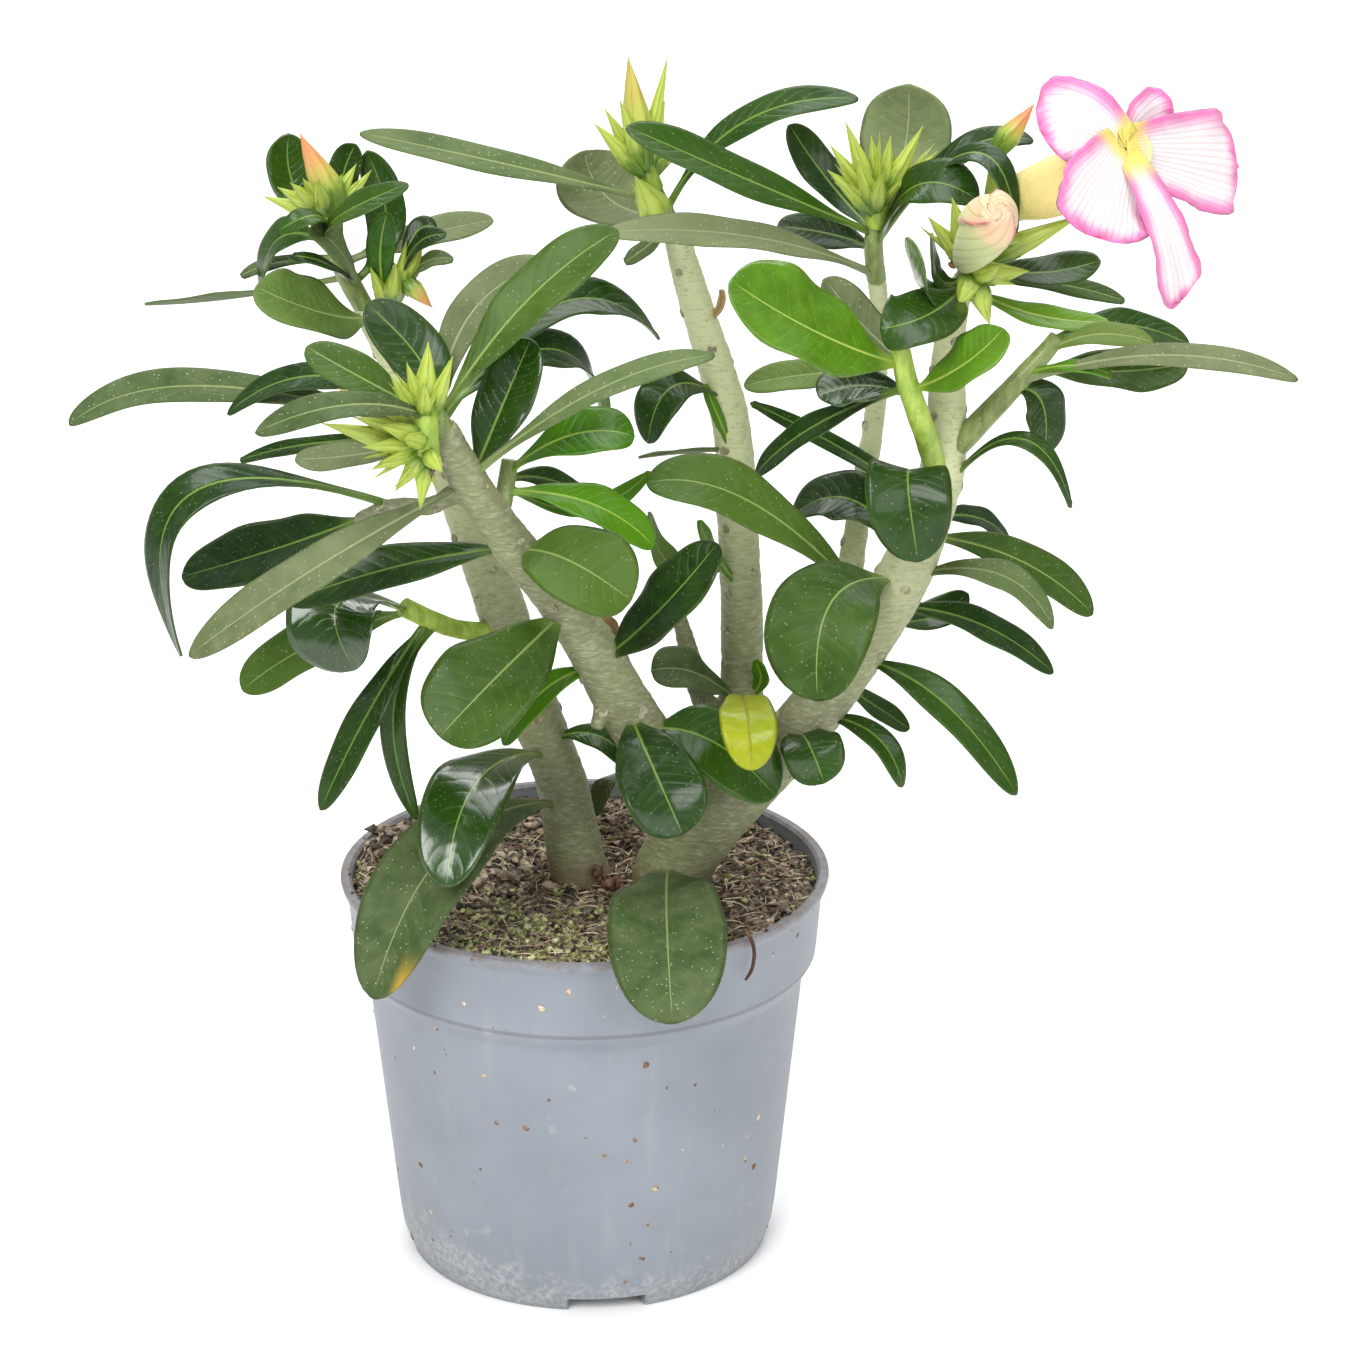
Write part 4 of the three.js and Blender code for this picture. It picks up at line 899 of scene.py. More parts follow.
class GrowthTree(Graph):
    """A Geometry Nodes tree with named inputs, which ends in plain geometry and one material."""

    def __init__(self, name: str, **sizes: str) -> None:
        """Starts a tree.

        Args:
            name: The tree's name.
            sizes: The kind of each named input.
        """
        super().__init__(bpy.data.node_groups.new(name, "GeometryNodeTree"))
        sockets = self.tree.interface
        sockets.new_socket("Geometry", in_out="INPUT", socket_type="NodeSocketGeometry")
        sockets.new_socket("Geometry", in_out="OUTPUT", socket_type="NodeSocketGeometry")
        for title, kind in (*sizes.items(), ("Finish", "Material")):
            sockets.new_socket(title, in_out="INPUT", socket_type="NodeSocket" + kind)
        self.entry = self.add("NodeGroupInput").outputs
        self.geometry = self.entry["Geometry"]

    def value(self, name: str, kind: str = "FLOAT") -> NodeSocket:
        """A value that the carrier's points hold."""
        return self.add("GeometryNodeInputNamedAttribute", {"Name": name}, data_type=kind).outputs[0]

    def uneven(self, geometry: NodeSocket, depth: NodeSocket, noise: dict[str | int, Value]) -> NodeSocket:
        """Pushes geometry in and out along its normals.

        Args:
            geometry: What is pushed.
            depth: How far the highest places lie above the lowest.
            noise: The inputs of the noise that sets the height.

        Returns:
            The uneven geometry.
        """
        height = self.add("ShaderNodeTexNoise", noise).outputs[0]
        lift = self.times(self.math("SUBTRACT", height, 0.5), depth)
        normal = self.add("GeometryNodeInputNormal").outputs[0]
        push = self.add("ShaderNodeVectorMath", {0: normal, "Scale": lift}, operation="SCALE").outputs[0]
        return self.add("GeometryNodeSetPosition", {0: geometry, "Offset": push}).outputs[0]

    def spun(self, rotation: NodeSocket) -> NodeSocket:
        """A rotation, turned further about its own Z axis by chance."""
        inputs = {0: (0.0, 0.0, 0.0), 1: (0.0, 0.0, math.tau), "Seed": self.entry["Seed"]}
        turn = self.add("FunctionNodeRandomValue", inputs, data_type="FLOAT_VECTOR").outputs[0]
        inputs = {0: rotation, 1: self.add("FunctionNodeEulerToRotation", {0: turn}).outputs[0]}
        return self.add("FunctionNodeRotateRotation", inputs, rotation_space="LOCAL").outputs[0]

    def set_on(self, points: NodeSocket, rotation: NodeSocket, scale: NodeSocket) -> NodeTree:
        """Sets a copy of the given form on each point, and closes the tree."""
        form = self.add("GeometryNodeObjectInfo", {"Object": self.entry["Form"]}).outputs["Geometry"]
        inputs = {"Points": points, "Instance": form, "Rotation": rotation, "Scale": scale}
        return self.end(self.add("GeometryNodeInstanceOnPoints", inputs).outputs[0])

    def end(self, geometry: NodeSocket) -> NodeTree:
        """Closes the tree: plain geometry, shaded smooth, with one material."""
        plain = self.add("GeometryNodeRealizeInstances", {0: geometry}).outputs[0]
        shaded = self.add("GeometryNodeSetShadeSmooth", {0: plain, 2: True}).outputs[0]
        inputs = {0: shaded, "Material": self.entry["Finish"]}
        self.add("NodeGroupOutput", {0: self.add("GeometryNodeSetMaterial", inputs).outputs[0]})
        return self.tree


def grown(carrier: Object, tree: NodeTree, **values: float | Object | Material) -> Object:
    """Runs a tree on an object and keeps the result as the object's plain mesh.

    Args:
        carrier: The object that the tree starts from.
        tree: The tree.
        values: A value for each named input of the tree.

    Returns:
        The same object, with its new mesh.
    """
    modifier = carrier.modifiers.new(tree.name, "NODES")
    modifier.node_group = tree
    for socket in tree.interface.items_tree:
        if socket.in_out == "INPUT" and socket.name in values:
            modifier[socket.identifier] = values[socket.name]
    return settled(carrier)


def limb_tree() -> NodeTree:
    """Sweeps a round limb along each chain of points, with the width that each point holds."""
    tree = GrowthTree("round_limb", Sides="Int", Step="Float", Unevenness="Float", Clouds="Float")
    entry = tree.entry
    line = tree.add("GeometryNodeMeshToCurve", {0: tree.geometry}).outputs[0]
    smooth = tree.add("GeometryNodeCurveSplineType", {0: line}, spline_type="CATMULL_ROM").outputs[0]
    inputs = {0: smooth, "Length": entry["Step"]}
    steps = tree.add("GeometryNodeResampleCurve", inputs, mode="LENGTH").outputs[0]
    inputs = {"Resolution": entry["Sides"], "Radius": 1.0}
    ring = tree.add("GeometryNodeCurvePrimitiveCircle", inputs).outputs[0]
    inputs = {"Curve": steps, "Profile Curve": ring, "Scale": tree.value("thick"), "Fill Caps": True}
    tube = tree.add("GeometryNodeCurveToMesh", inputs).outputs[0]
    noise = {"Scale": entry["Clouds"], "Detail": 3.0}
    return tree.end(tree.uneven(tube, entry["Unevenness"], noise))


def bark_tree() -> NodeTree:
    """Fine wrinkles that run round the limbs."""
    tree = GrowthTree("bark_wrinkles", Depth="Float", Size="Float")
    spot = tree.add("GeometryNodeInputPosition").outputs[0]
    inputs = {0: spot, 1: (1.0, 1.0, BARK_SQUEEZE)}
    flat = tree.add("ShaderNodeVectorMath", inputs, operation="MULTIPLY").outputs[0]
    noise = {0: flat, "Scale": tree.entry["Size"], "Detail": 4.0}
    return tree.end(tree.uneven(tree.geometry, tree.entry["Depth"], noise))


def scatter_tree() -> NodeTree:
    """Strews turned and resized copies of one small form over a surface, and drops the surface."""
    sizes = {name: "Float" for name in ("Density", "Spacing", "Smallest", "Largest", "Flatness", "Sunk")}
    tree = GrowthTree("strewn_forms", Form="Object", **sizes, Seed="Int")
    entry = tree.entry
    inputs = {
        "Mesh": tree.geometry,
        "Distance Min": entry["Spacing"],
        "Density Max": entry["Density"],
        "Density Factor": tree.value("strewn"),
        "Seed": entry["Seed"],
    }
    spots = tree.add("GeometryNodeDistributePointsOnFaces", inputs, distribute_method="POISSON").outputs
    aim = tree.spun(spots["Rotation"])
    inputs = {2: entry["Smallest"], 3: entry["Largest"], "Seed": entry["Seed"]}
    size = tree.add("FunctionNodeRandomValue", inputs).outputs[1]
    tall = tree.times(size, entry["Flatness"])
    scale = tree.add("ShaderNodeCombineXYZ", {0: size, 1: size, 2: tall}).outputs[0]
    inputs = {0: spots["Normal"], "Scale": entry["Sunk"]}
    drop = tree.add("ShaderNodeVectorMath", inputs, operation="SCALE").outputs[0]
    lowered = tree.add("GeometryNodeSetPosition", {0: spots["Points"], "Offset": drop}).outputs[0]
    return tree.set_on(lowered, aim, scale)


def bunch_tree() -> NodeTree:
    """Sets one bud on each point, along the aim and with the size that the point holds."""
    tree = GrowthTree("bunch_of_buds", Form="Object", Seed="Int")
    inputs = {"Vector": tree.value("aim", "FLOAT_VECTOR")}
    aim = tree.add("FunctionNodeAlignRotationToVector", inputs, axis="Z").outputs[0]
    return tree.set_on(tree.geometry, tree.spun(aim), tree.value("measure", "FLOAT_VECTOR"))


@dataclass
class Kit:
    """The trees, the small repeated forms and the finishes that the pieces share."""

    limb: NodeTree = field(default_factory=limb_tree)
    scatter: NodeTree = field(default_factory=scatter_tree)
    bunch: NodeTree = field(default_factory=bunch_tree)
    materials: dict[str, Material] = field(default_factory=dict)
    forms: dict[Callable[[], Object], Object] = field(default_factory=dict)

    def material(self, finish: Finish) -> Material:
        """The material of a finish, built the first time that it is asked for."""
        if finish.name not in self.materials:
            self.materials[finish.name] = finish.material()
        return self.materials[finish.name]

    def form(self, maker: Callable[[], Object]) -> Object:
        """A small repeated form, made the first time that it is asked for."""
        if maker not in self.forms:
            self.forms[maker] = maker()
        return self.forms[maker]

    def put_away(self) -> None:
        """Removes the repeated forms, whose copies are plain meshes by now."""
        for form in self.forms.values():
            bpy.data.objects.remove(form)


def chains(name: str, rows: tuple[Chain, ...]) -> Object:
    """Chains of points for the limb tree.

    Args:
        name: The object's name.
        rows: For each chain, its measured places, each with a width.

    Returns:
        An object whose points hold half of that width.
    """
    points = [place(spot) * MM for chain in rows for spot in chain]
    widths = [spot[3] / 2 * MM for chain in rows for spot in chain]
    links = []
    start = 0
    for chain in rows:
        links += [(start + i, start + i + 1) for i in range(len(chain) - 1)]
        start += len(chain)
    mesh = bpy.data.meshes.new(name)
    mesh.from_pydata(points, links, [])
    mark(mesh, "thick", widths)
    return new_object(name, mesh)


@dataclass(frozen=True)
class Sweep:
    """How round limbs are swept: their sides, and their steps, unevenness and clouds.

    Steps and unevenness are in millimetres, and clouds is how many clouds of noise fit in a metre.
    """

    sides: int
    step: float
    unevenness: float
    clouds: float

    def limbs(self, kit: Kit, name: str, rows: tuple[Chain, ...], finish: Finish) -> Object:
        """Sweeps a round limb along each chain of places."""
        return grown(
            chains(name, rows),
            kit.limb,
            Sides=self.sides,
            Step=self.step * MM,
            Unevenness=self.unevenness * MM,
            Clouds=self.clouds,
            Finish=kit.material(finish),
        )


WOOD_SWEEP = Sweep(sides=20, step=1.5, unevenness=0.9, clouds=70.0)
STALK_SWEEP = Sweep(sides=14, step=1.2, unevenness=0.5, clouds=180.0)
ROOT_SWEEP = Sweep(sides=7, step=1.0, unevenness=0.2, clouds=300.0)


# Leaves


@dataclass(frozen=True)
class Leaf:
    """One leaf by three measured places on its midrib, its greatest width and its look."""

    start: Seen
    via: Seen
    end: Seen
    width: float
    look: Look = Look.DUSTY
    roll: float = 0.0
    wave: float = 1.0


@dataclass(frozen=True)
class Midrib:
    """The curve that a blade follows, and the frame of directions along it."""

    start: Vector
    control: Vector
    end: Vector
    sideways: Vector

    @classmethod
    def through(cls, seen: tuple[Seen, Seen, Seen], facing: Vector, roll: float) -> "Midrib":
        """A curve through three measured places.

        Args:
            seen: The places of its foot, its middle and its tip.
            facing: The direction that the blade's upper face looks to.
            roll: How far the blade is turned about its chord, in degrees.

        Returns:
            The midrib.
        """
        start, middle, end = (place(spot) for spot in seen)
        chord = (end - start).normalized()
        sideways = Matrix.Rotation(math.radians(roll), 3, chord) @ chord.cross(facing).normalized()
        return cls(start, 2 * middle - (start + end) / 2, end, sideways)

    def stations(self, shares: np.ndarray) -> tuple[np.ndarray, np.ndarray, np.ndarray]:
        """Spine points, sideways directions and upward directions at shares of the length."""
        spines, sides, ups = [], [], []
        for share in shares.tolist():
            rest = 1 - share
            spine = rest * rest * self.start + 2 * rest * share * self.control + share * share * self.end
            along = (rest * (self.control - self.start) + share * (self.end - self.control)).normalized()
            side = (self.sideways - self.sideways.dot(along) * along).normalized()
            spines.append(spine)
            sides.append(side)
            ups.append(side.cross(along))
        return np.array(spines), np.array(sides), np.array(ups)

    def surface(self, shares: np.ndarray, across: np.ndarray, lift: np.ndarray) -> np.ndarray:
        """Points beside and above the curve at shares of its length, as rows of rings."""
        spines, sides, ups = self.stations(shares)
        return spines[:, None] + sides[:, None] * across[..., None] + ups[:, None] * lift[..., None]

    def length(self) -> float:
        """The curve's length in millimetres."""
        spines = self.stations(np.linspace(0, 1, 17))[0]
        return float(np.linalg.norm(np.diff(spines, axis=0), axis=1).sum())


def blade_section(columns: int) -> tuple[np.ndarray, np.ndarray]:
    """One turn round a flat blade: over its upper face and back along the lower one.

    Args:
        columns: How many steps each face has.

    Returns:
        Where each point lies, from -1 at one margin to 1 at the other, and 1 for those of the lower face.
    """
    spread = np.linspace(-1, 1, columns + 1)
    turn = np.concatenate([spread, spread[-2:0:-1]])
    below = np.concatenate([np.zeros(columns + 1), np.ones(columns - 1)])
    return turn[None, :], below[None, :]


@dataclass
class LeafBlade:
    """Builds the fine blade of a leaf: a round stalk that flattens into a folded, waved lamina."""

    rows: int = 30
    columns: int = 14
    stalk_share: float = 0.2
    stalk_thickness: float = 1.5
    lamina_thickness: float = 0.75
    rib_height: float = 0.5
    rib_reach: float = 0.9
    groove_depth: float = 0.3
    groove_reach: float = 0.6
    wave_share: float = 0.045

    def outline(self, share: np.ndarray, slenderness: float) -> np.ndarray:
        """The width at shares of the length: a narrow foot, a broad end and a round tip.

        Args:
            share: Where along the leaf.
            slenderness: The leaf's width over its length.

        Returns:
            The width as a share of the greatest one.
        """
        rise = np.sin(math.pi / 2 * np.clip(share / WIDEST_SHARE, 0, 1)) ** 1.25
        roundness = 1.9 + 1.4 * min(1.0, slenderness * 1.6)
        past = np.clip((share - WIDEST_SHARE) / (1 - WIDEST_SHARE), 0, 1)
        return np.where(share < WIDEST_SHARE, rise, np.sqrt(np.clip(1 - past**roundness, 0, 1)))

    def add(self, skin: Skin, leaf: Leaf, material: Material, dice: random.Random) -> None:
        """Adds one leaf.

        Args:
            skin: The mesh that gets it.
            leaf: Its places, width and look.
            material: Its finish.
            dice: The source of its small irregularities.
        """
        midrib = Midrib.through((leaf.start, leaf.via, leaf.end), LEAF_FACING, leaf.roll)
        length = midrib.length()
        shares = 1 - (1 - np.linspace(0, 1, self.rows)) ** 1.3
        half = np.maximum(leaf.width * self.outline(shares, leaf.width / length), PETIOLE_WIDTH) / 2
        half[-1] = 0.04 * leaf.width
        half[-2] = min(half[-2], 0.3 * leaf.width)
        turn, below = blade_section(self.columns)
        x = half[:, None] * turn
        share = shares[:, None]
        lift = LEAF_FOLD * (np.sqrt(x * x + 1.0) - 1.0)
        lift += self.waves(leaf, share, turn, dice)
        stalk = np.clip(1 - share / self.stalk_share, 0, 1) ** 1.5
        thick = self.lamina_thickness + (self.stalk_thickness - self.lamina_thickness) * stalk
        wall = thick / 2 * np.sqrt(np.clip(1 - turn**2, 0, 1)) ** (0.5 + stalk)
        rib = self.rib_height * (1 - share) * np.exp(-((x / self.rib_reach) ** 2))
        groove = self.groove_depth * (1 - stalk) * (1 - share) * np.exp(-((x / self.groove_reach) ** 2))
        lift += np.where(below > 0, -wall - rib, wall - groove)
        under = np.where(np.abs(turn) == 1, 0.3, below)
        values = {"across": x, "half": half[:, None], "along": share, "under": under, "shade": dice.random()}
        skin.add(midrib.surface(shares, x, lift), material, **values)

    def waves(self, leaf: Leaf, share: np.ndarray, turn: np.ndarray, dice: random.Random) -> np.ndarray:
        """How far the lamina waves up and down, most at its margins."""
        left, right = dice.uniform(0, math.tau), dice.uniform(0, math.tau)
        count = dice.uniform(1.6, 2.8)
        phase = np.where(turn < 0, left, right)
        height = self.wave_share * leaf.width * leaf.wave
        swell = np.sin(math.pi * np.clip(share, 0, 1)) * turn**2
        return height * swell * np.sin(math.tau * count * share + phase)


# Wood


SCAR_SECTION = ((1.25, -0.3), (1.15, 0.1), (0.9, 0.28), (0.7, 0.1), (0.35, 0.06), (0.22, 0.2), (0.02, 0.26))


@dataclass
class Wood:
    """The bark-covered wood of one plant: its limbs grown together into one skin."""

    name: str
    node: str
    limbs: tuple[Chain, ...]
    voxel: float = 0.75
    soften_rounds: int = 8
    wrinkle_depth: float = 0.7
    wrinkle_clouds: float = 260.0
    scars_from: float = 125.0
    scar_spacing: float = 8.5
    scar_density: float = 3.0e4

    def build(self, kit: Kit) -> Object:
        """Sweeps the limbs, grows them together and marks the bark.

        Args:
            kit: The shared trees and finishes.

        Returns:
            The wood.
        """
        wood = WOOD_SWEEP.limbs(kit, self.name, self.limbs, BARK)
        remesh = wood.modifiers.new("grown_together", "REMESH")
        remesh.mode = "VOXEL"
        remesh.voxel_size = self.voxel * MM
        soften = wood.modifiers.new("soften", "SMOOTH")
        soften.factor = 0.5
        soften.iterations = self.soften_rounds
        settled(wood)
        depth = self.wrinkle_depth * MM
        grown(wood, bark_tree(), Depth=depth, Size=self.wrinkle_clouds, Finish=kit.material(BARK))
        return joined(self.name, [wood, self.scars(kit, wood)])

    def scars(self, kit: Kit, wood: Object) -> Object:
        """The scars that fallen leaves left, set on the wood above its old foot."""
        carrier = new_object(self.name + "_scars", wood.data.copy())
        spots = np.zeros(3 * len(carrier.data.vertices), np.float32)
        carrier.data.vertices.foreach_get("co", spots)
        mark(carrier.data, "strewn", (spots[2::3] > self.scars_from * MM).astype(np.float32))
        values = {
            "Form": kit.form(scar_form),
            "Density": self.scar_density,
            "Spacing": self.scar_spacing * MM,
            "Smallest": 0.8,
            "Largest": 1.5,
            "Flatness": 0.7,
            "Sunk": 0.05 * MM,
            "Seed": 4,
        }
        return grown(carrier, kit.scatter, Finish=kit.material(SCAR), **values)


def scar_form() -> Object:
    """A low ring with a dot in it, where a leaf once stood. It is a little longer than it is high."""
    skin = Skin()
    turns = round_turns(14)
    rings = [[(r * math.cos(t), 0.8 * r * math.sin(t), z) for t in turns] for r, z in SCAR_SECTION]
    skin.add(np.array(rings), None)
    return skin.piece("leaf_scar_form")


def scab(kit: Kit, name: str, spots: tuple[Seen, ...]) -> Object:
    """A few rough brown lumps side by side, three at each place."""
    skin = Skin()
    dice = random.Random(name)
    for number, spot in enumerate(spots):
        for crumb in range(3):
            offset = [dice.uniform(-1.3, 1.3) for _ in spot]
            lump = small_lump(dice.uniform(0.8, 1.6), 1.1, 10 * number + crumb)
            skin.add(lump + np.array(place(spot)) + offset, kit.material(SCAB))
    return skin.piece(name)


# Shoots and buds


@dataclass
class Shoot:
    """A green shoot: its young stems and the leaves that grow from them."""

    name: str
    stems: tuple[Chain, ...]
    leaves: tuple[Leaf, ...]
    buds: tuple["Bud", ...] = ()
    skin: StalkFinish = STALK

    def build(self, kit: Kit, blade: LeafBlade) -> Object:
        """Builds the stems and the leaves as one piece.

        Args:
            kit: The shared trees and finishes.
            blade: The maker of leaves.

        Returns:
            The shoot.
        """
        pieces = [STALK_SWEEP.limbs(kit, self.name + "_stalks", self.stems, self.skin)]
        if self.buds:
            pieces.append(Bunch(self.name + "_buds", (), self.buds).flowers(kit))
        dice = random.Random(self.name)
        skin = Skin()
        for leaf in self.leaves:
            blade.add(skin, leaf, kit.material(leaf.look.value), dice)
        return joined(self.name, [skin.piece(self.name + "_leaves"), *pieces])


@dataclass(frozen=True)
class Bud:
    """One pointed bud by its foot, its tip and its width, with how much its tip blushes."""

    start: Seen
    end: Seen
    width: float
    blush: float = 0.0


@dataclass
class Bunch:
    """A bunch of pointed buds on its short green stems."""

    name: str
    stems: tuple[Chain, ...]
    buds: tuple[Bud, ...]
    slips_each: int = 2
    slip_stray: float = 0.32

    def slips(self) -> list[Bud]:
        """Small buds that crowd round the foot of each large one."""
        dice = random.Random(self.name)
        found = []
        for bud in self.buds:
            length = math.dist(bud.start, bud.end)
            for _ in range(self.slips_each):
                share = dice.uniform(0.45, 0.72)
                end = []
                for a, b in zip(bud.start, bud.end):
                    end.append(a + share * (b - a) + dice.uniform(-self.slip_stray, self.slip_stray) * length)
                found.append(Bud(bud.start, tuple(end), dice.uniform(0.34, 0.5) * bud.width))
        return found

    def flowers(self, kit: Kit) -> Object:
        """The buds alone, one form set on each bud's foot."""
        buds = [*self.buds, *self.slips()]
        feet = [place(bud.start) * MM for bud in buds]
        aims = [(place(bud.end) - place(bud.start)) for bud in buds]
        mesh = bpy.data.meshes.new(self.name)
        mesh.from_pydata(feet, [], [])
        sizes = [(bud.width, bud.width, aim.length) for bud, aim in zip(buds, aims)]
        for key, rows in (("aim", aims), ("measure", sizes)):
            mark(mesh, key, np.array([tuple(row) for row in rows], np.float32).reshape(-1), vectors=True)
        mark(mesh, "blush", [bud.blush for bud in buds])
        carrier = new_object(self.name, mesh)
        return grown(carrier, kit.bunch, Form=kit.form(bud_form), Seed=7, Finish=kit.material(BUD))

    def build(self, kit: Kit) -> Object:
        """Builds the stems and the buds as one piece."""
        stalks = STALK_SWEEP.limbs(kit, self.name + "_stalks", self.stems, LIME_STALK)
        return joined(self.name, [self.flowers(kit), stalks])


def pinwheel(turns: np.ndarray, twist: float, petals: int) -> np.ndarray:
    """Where each turn lies across its rolled petal, from the hidden edge at 0 to the free one at 1."""
    return np.mod(petals * (turns / math.tau) - twist, 1.0)


def bud_form() -> Object:
    """A bud one wide and one high: five petals rolled into a point, with five small sepals."""
    skin = Skin()
    turns = round_turns(BUD_SIDES)
    shares = np.linspace(0, 1, BUD_ROWS)
    rings, ridges = [], []
    for share in shares:
        swell = 0.28 + 0.2 * math.sin(math.pi / 2 * min(1.0, share / BUD_WIDEST))
        taper = 1.0
        if share >= BUD_WIDEST:
            taper = max(0.03, 1 - ((share - BUD_WIDEST) / (1 - BUD_WIDEST)) ** 1.2)
        ridge = pinwheel(turns, BUD_TWIST * share, BUD_PETALS)
        radius = swell * taper * (1 + 0.16 * (ridge - 0.5) * min(1.0, 3 * share))
        heights = np.full(BUD_SIDES, share)
        rings.append(np.stack([radius * np.cos(turns), radius * np.sin(turns), heights], axis=1))
        ridges.append(ridge)
    skin.add(np.array(rings), None, along=shares[:, None], ridge=np.array(ridges))
    for i in range(BUD_PETALS):
        add_sepal(skin, math.tau * i / BUD_PETALS)
    return skin.piece("bud_form")


def add_sepal(skin: Skin, turn: float) -> None:
    """A small pointed scale that hugs the bud's foot."""
    across = np.linspace(-1, 1, 5)
    rings = []
    shares = np.linspace(0, 1, 6)
    for share in shares:
        width = 0.3 * (1 - share**1.8) + 0.02
        distance = 0.32 + 0.2 * share + 0.03 * math.sin(math.pi * share)
        outer = [(turn + width * u, distance + 0.035 * (1 - u * u)) for u in across]
        inner = [(turn + width * u, distance - 0.04) for u in across[::-1]]
        rings.append([(r * math.cos(t), r * math.sin(t), 0.36 * share) for t, r in outer + inner])
    skin.add(np.array(rings)[:, ::-1], None, along=0.2 * shares[:, None], ridge=0.9)


# The bloom and the rolled bud


@dataclass(frozen=True)
class Petal:
    """One petal by three measured places and its greatest width."""

    start: Seen
    via: Seen
    end: Seen
    width: float


def tube_rings(rows: Chain, steps: int, sides: int) -> tuple[np.ndarray, np.ndarray]:
    """Rings round a smooth path.

    Args:
        rows: Measured places along the path, each with a width.
        steps: How many rings there are.
        sides: How many points each ring has.

    Returns:
        The rings, and the share of the path at each.
    """
    spots = np.array([place(row) for row in rows])
    radii = np.array([row[3] / 2 for row in rows])
    knots = np.linspace(0, 1, len(rows))
    shares = np.linspace(0, 1, steps)
    centres = np.stack([smooth_through(knots, spots[:, i], shares) for i in range(3)], axis=1)
    radius = smooth_through(knots, radii, shares)
    along = np.gradient(centres, axis=0)
    along /= np.linalg.norm(along, axis=1)[:, None]
    across = np.cross(along, (0.2, -0.4, 0.9))
    across /= np.linalg.norm(across, axis=1)[:, None]
    beside = np.cross(along, across)
    turns = round_turns(sides)
    ring = across[:, None] * np.cos(turns)[:, None] + beside[:, None] * np.sin(turns)[:, None]
    return centres[:, None] + radius[:, None, None] * ring, shares


def smooth_through(knots: np.ndarray, values: np.ndarray, shares: np.ndarray) -> np.ndarray:
    """A smooth curve through values, read at shares of its length."""
    slopes = np.gradient(values, knots)
    knot = np.clip(np.searchsorted(knots, shares, side="right") - 1, 0, len(knots) - 2)
    width = knots[knot + 1] - knots[knot]
    t = (shares - knots[knot]) / width
    first = (1 + 2 * t) * (1 - t) ** 2 * values[knot] + t * (1 - t) ** 2 * width * slopes[knot]
    second = t * t * (3 - 2 * t) * values[knot + 1] + t * t * (t - 1) * width * slopes[knot + 1]
    return first + second


@dataclass
class Bloom:
    """The open bloom: a yellow-green funnel, and five petals with a wavy magenta margin."""

    funnel: Chain
    throat: Chain
    petals: tuple[Petal, ...]
    heart: Seen = (126.4, 277.8, -25.5)
    sides: int = 28
    funnel_steps: int = 36
    throat_steps: int = 14
    rows: int = 34
    columns: int = 22
    thickness: float = 0.5
    margin: float = 6.5
    ruffle_share: float = 0.055
    ruffle_count: float = 2.6
    frill_share: float = 0.016
    frill_count: float = 9.0

    def build(self, kit: Kit) -> Object:
        """Builds the funnel and its petals as one piece."""
        skin = Skin()
        dice = random.Random("bloom")
        outer, shares = tube_rings(self.funnel, self.funnel_steps, self.sides)
        inner, _ = tube_rings(self.throat, self.throat_steps, self.sides)
        rings = np.concatenate([outer, inner[::-1]])
        along = np.concatenate([0.62 * shares, np.linspace(0.5, 0.3, self.throat_steps)])
        ridge = 0.6 + 0.4 * np.cos(len(self.petals) * round_turns(self.sides))
        skin.add(rings, kit.material(FUNNEL_SKIN), along=along[:, None], ridge=ridge, blush=0.45)
        for petal in self.petals:
            self.add_petal(skin, petal, kit.material(PETAL), dice)
        return skin.piece("bloom_fine")

    def outline(self, share: np.ndarray, slenderness: float) -> np.ndarray:
        """The petal's width along its length: broad, with a blunt end that is round on narrow petals too.

        Args:
            share: Places along the petal, from 0 to 1.
            slenderness: The petal's width over its length.

        Returns:
            The width there as a share of the largest.
        """
        spread = PETAL_FOOT_SPREAD + (1 - PETAL_FOOT_SPREAD) * np.sin(math.pi / 2 * share)
        rounded = min(PETAL_LONGEST_END, PETAL_END_SHARE * slenderness)
        end = np.clip(share - 1 + rounded, 0, 1) / rounded
        return spread * np.sqrt(np.clip(1 - end**2.2, 0, 1))

    def add_petal(self, skin: Skin, petal: Petal, material: Material, dice: random.Random) -> None:
        """Adds one waved petal with a thin margin."""
        foot = tuple(0.8 * middle + 0.2 * spot for middle, spot in zip(self.heart, petal.start))
        midrib = Midrib.through((foot, petal.via, petal.end), PETAL_FACING, 0.0)
        shares = 1 - (1 - np.linspace(0, 1, self.rows)) ** 1.4
        half = np.maximum(petal.width * self.outline(shares, petal.width / midrib.length()), 0.4) / 2
        turn, below = blade_section(self.columns)
        share = shares[:, None]
        x = half[:, None] * turn
        left, right = dice.uniform(0, math.tau), dice.uniform(0, math.tau)
        phase = np.where(turn < 0, left, right)
        ruffle = np.sin(math.tau * self.ruffle_count * share + phase)
        frill = np.sin(math.tau * self.frill_count * share + 2 * phase)
        waves = self.ruffle_share * petal.width * share * np.abs(turn) ** 2.5 * ruffle
        waves += self.frill_share * petal.width * share * turn**6 * frill
        lift = 0.12 * np.abs(x) * np.abs(turn) + waves
        lift += 0.35 * np.sin(7 * turn + left) * share
        lift += np.where(below > 0, -1, 1) * self.thickness / 2 * (1 - 0.6 * turn**2) * (np.abs(turn) < 1)
        inside = np.minimum(half[:, None] - np.abs(x), (1 - share) * midrib.length())
        edge = np.clip(1 - inside / min(self.margin, 0.36 * petal.width), 0, 1)
        surface = midrib.surface(shares, x, lift)
        skin.add(surface, material, across=x, along=share, edge=edge, half=half[:, None])


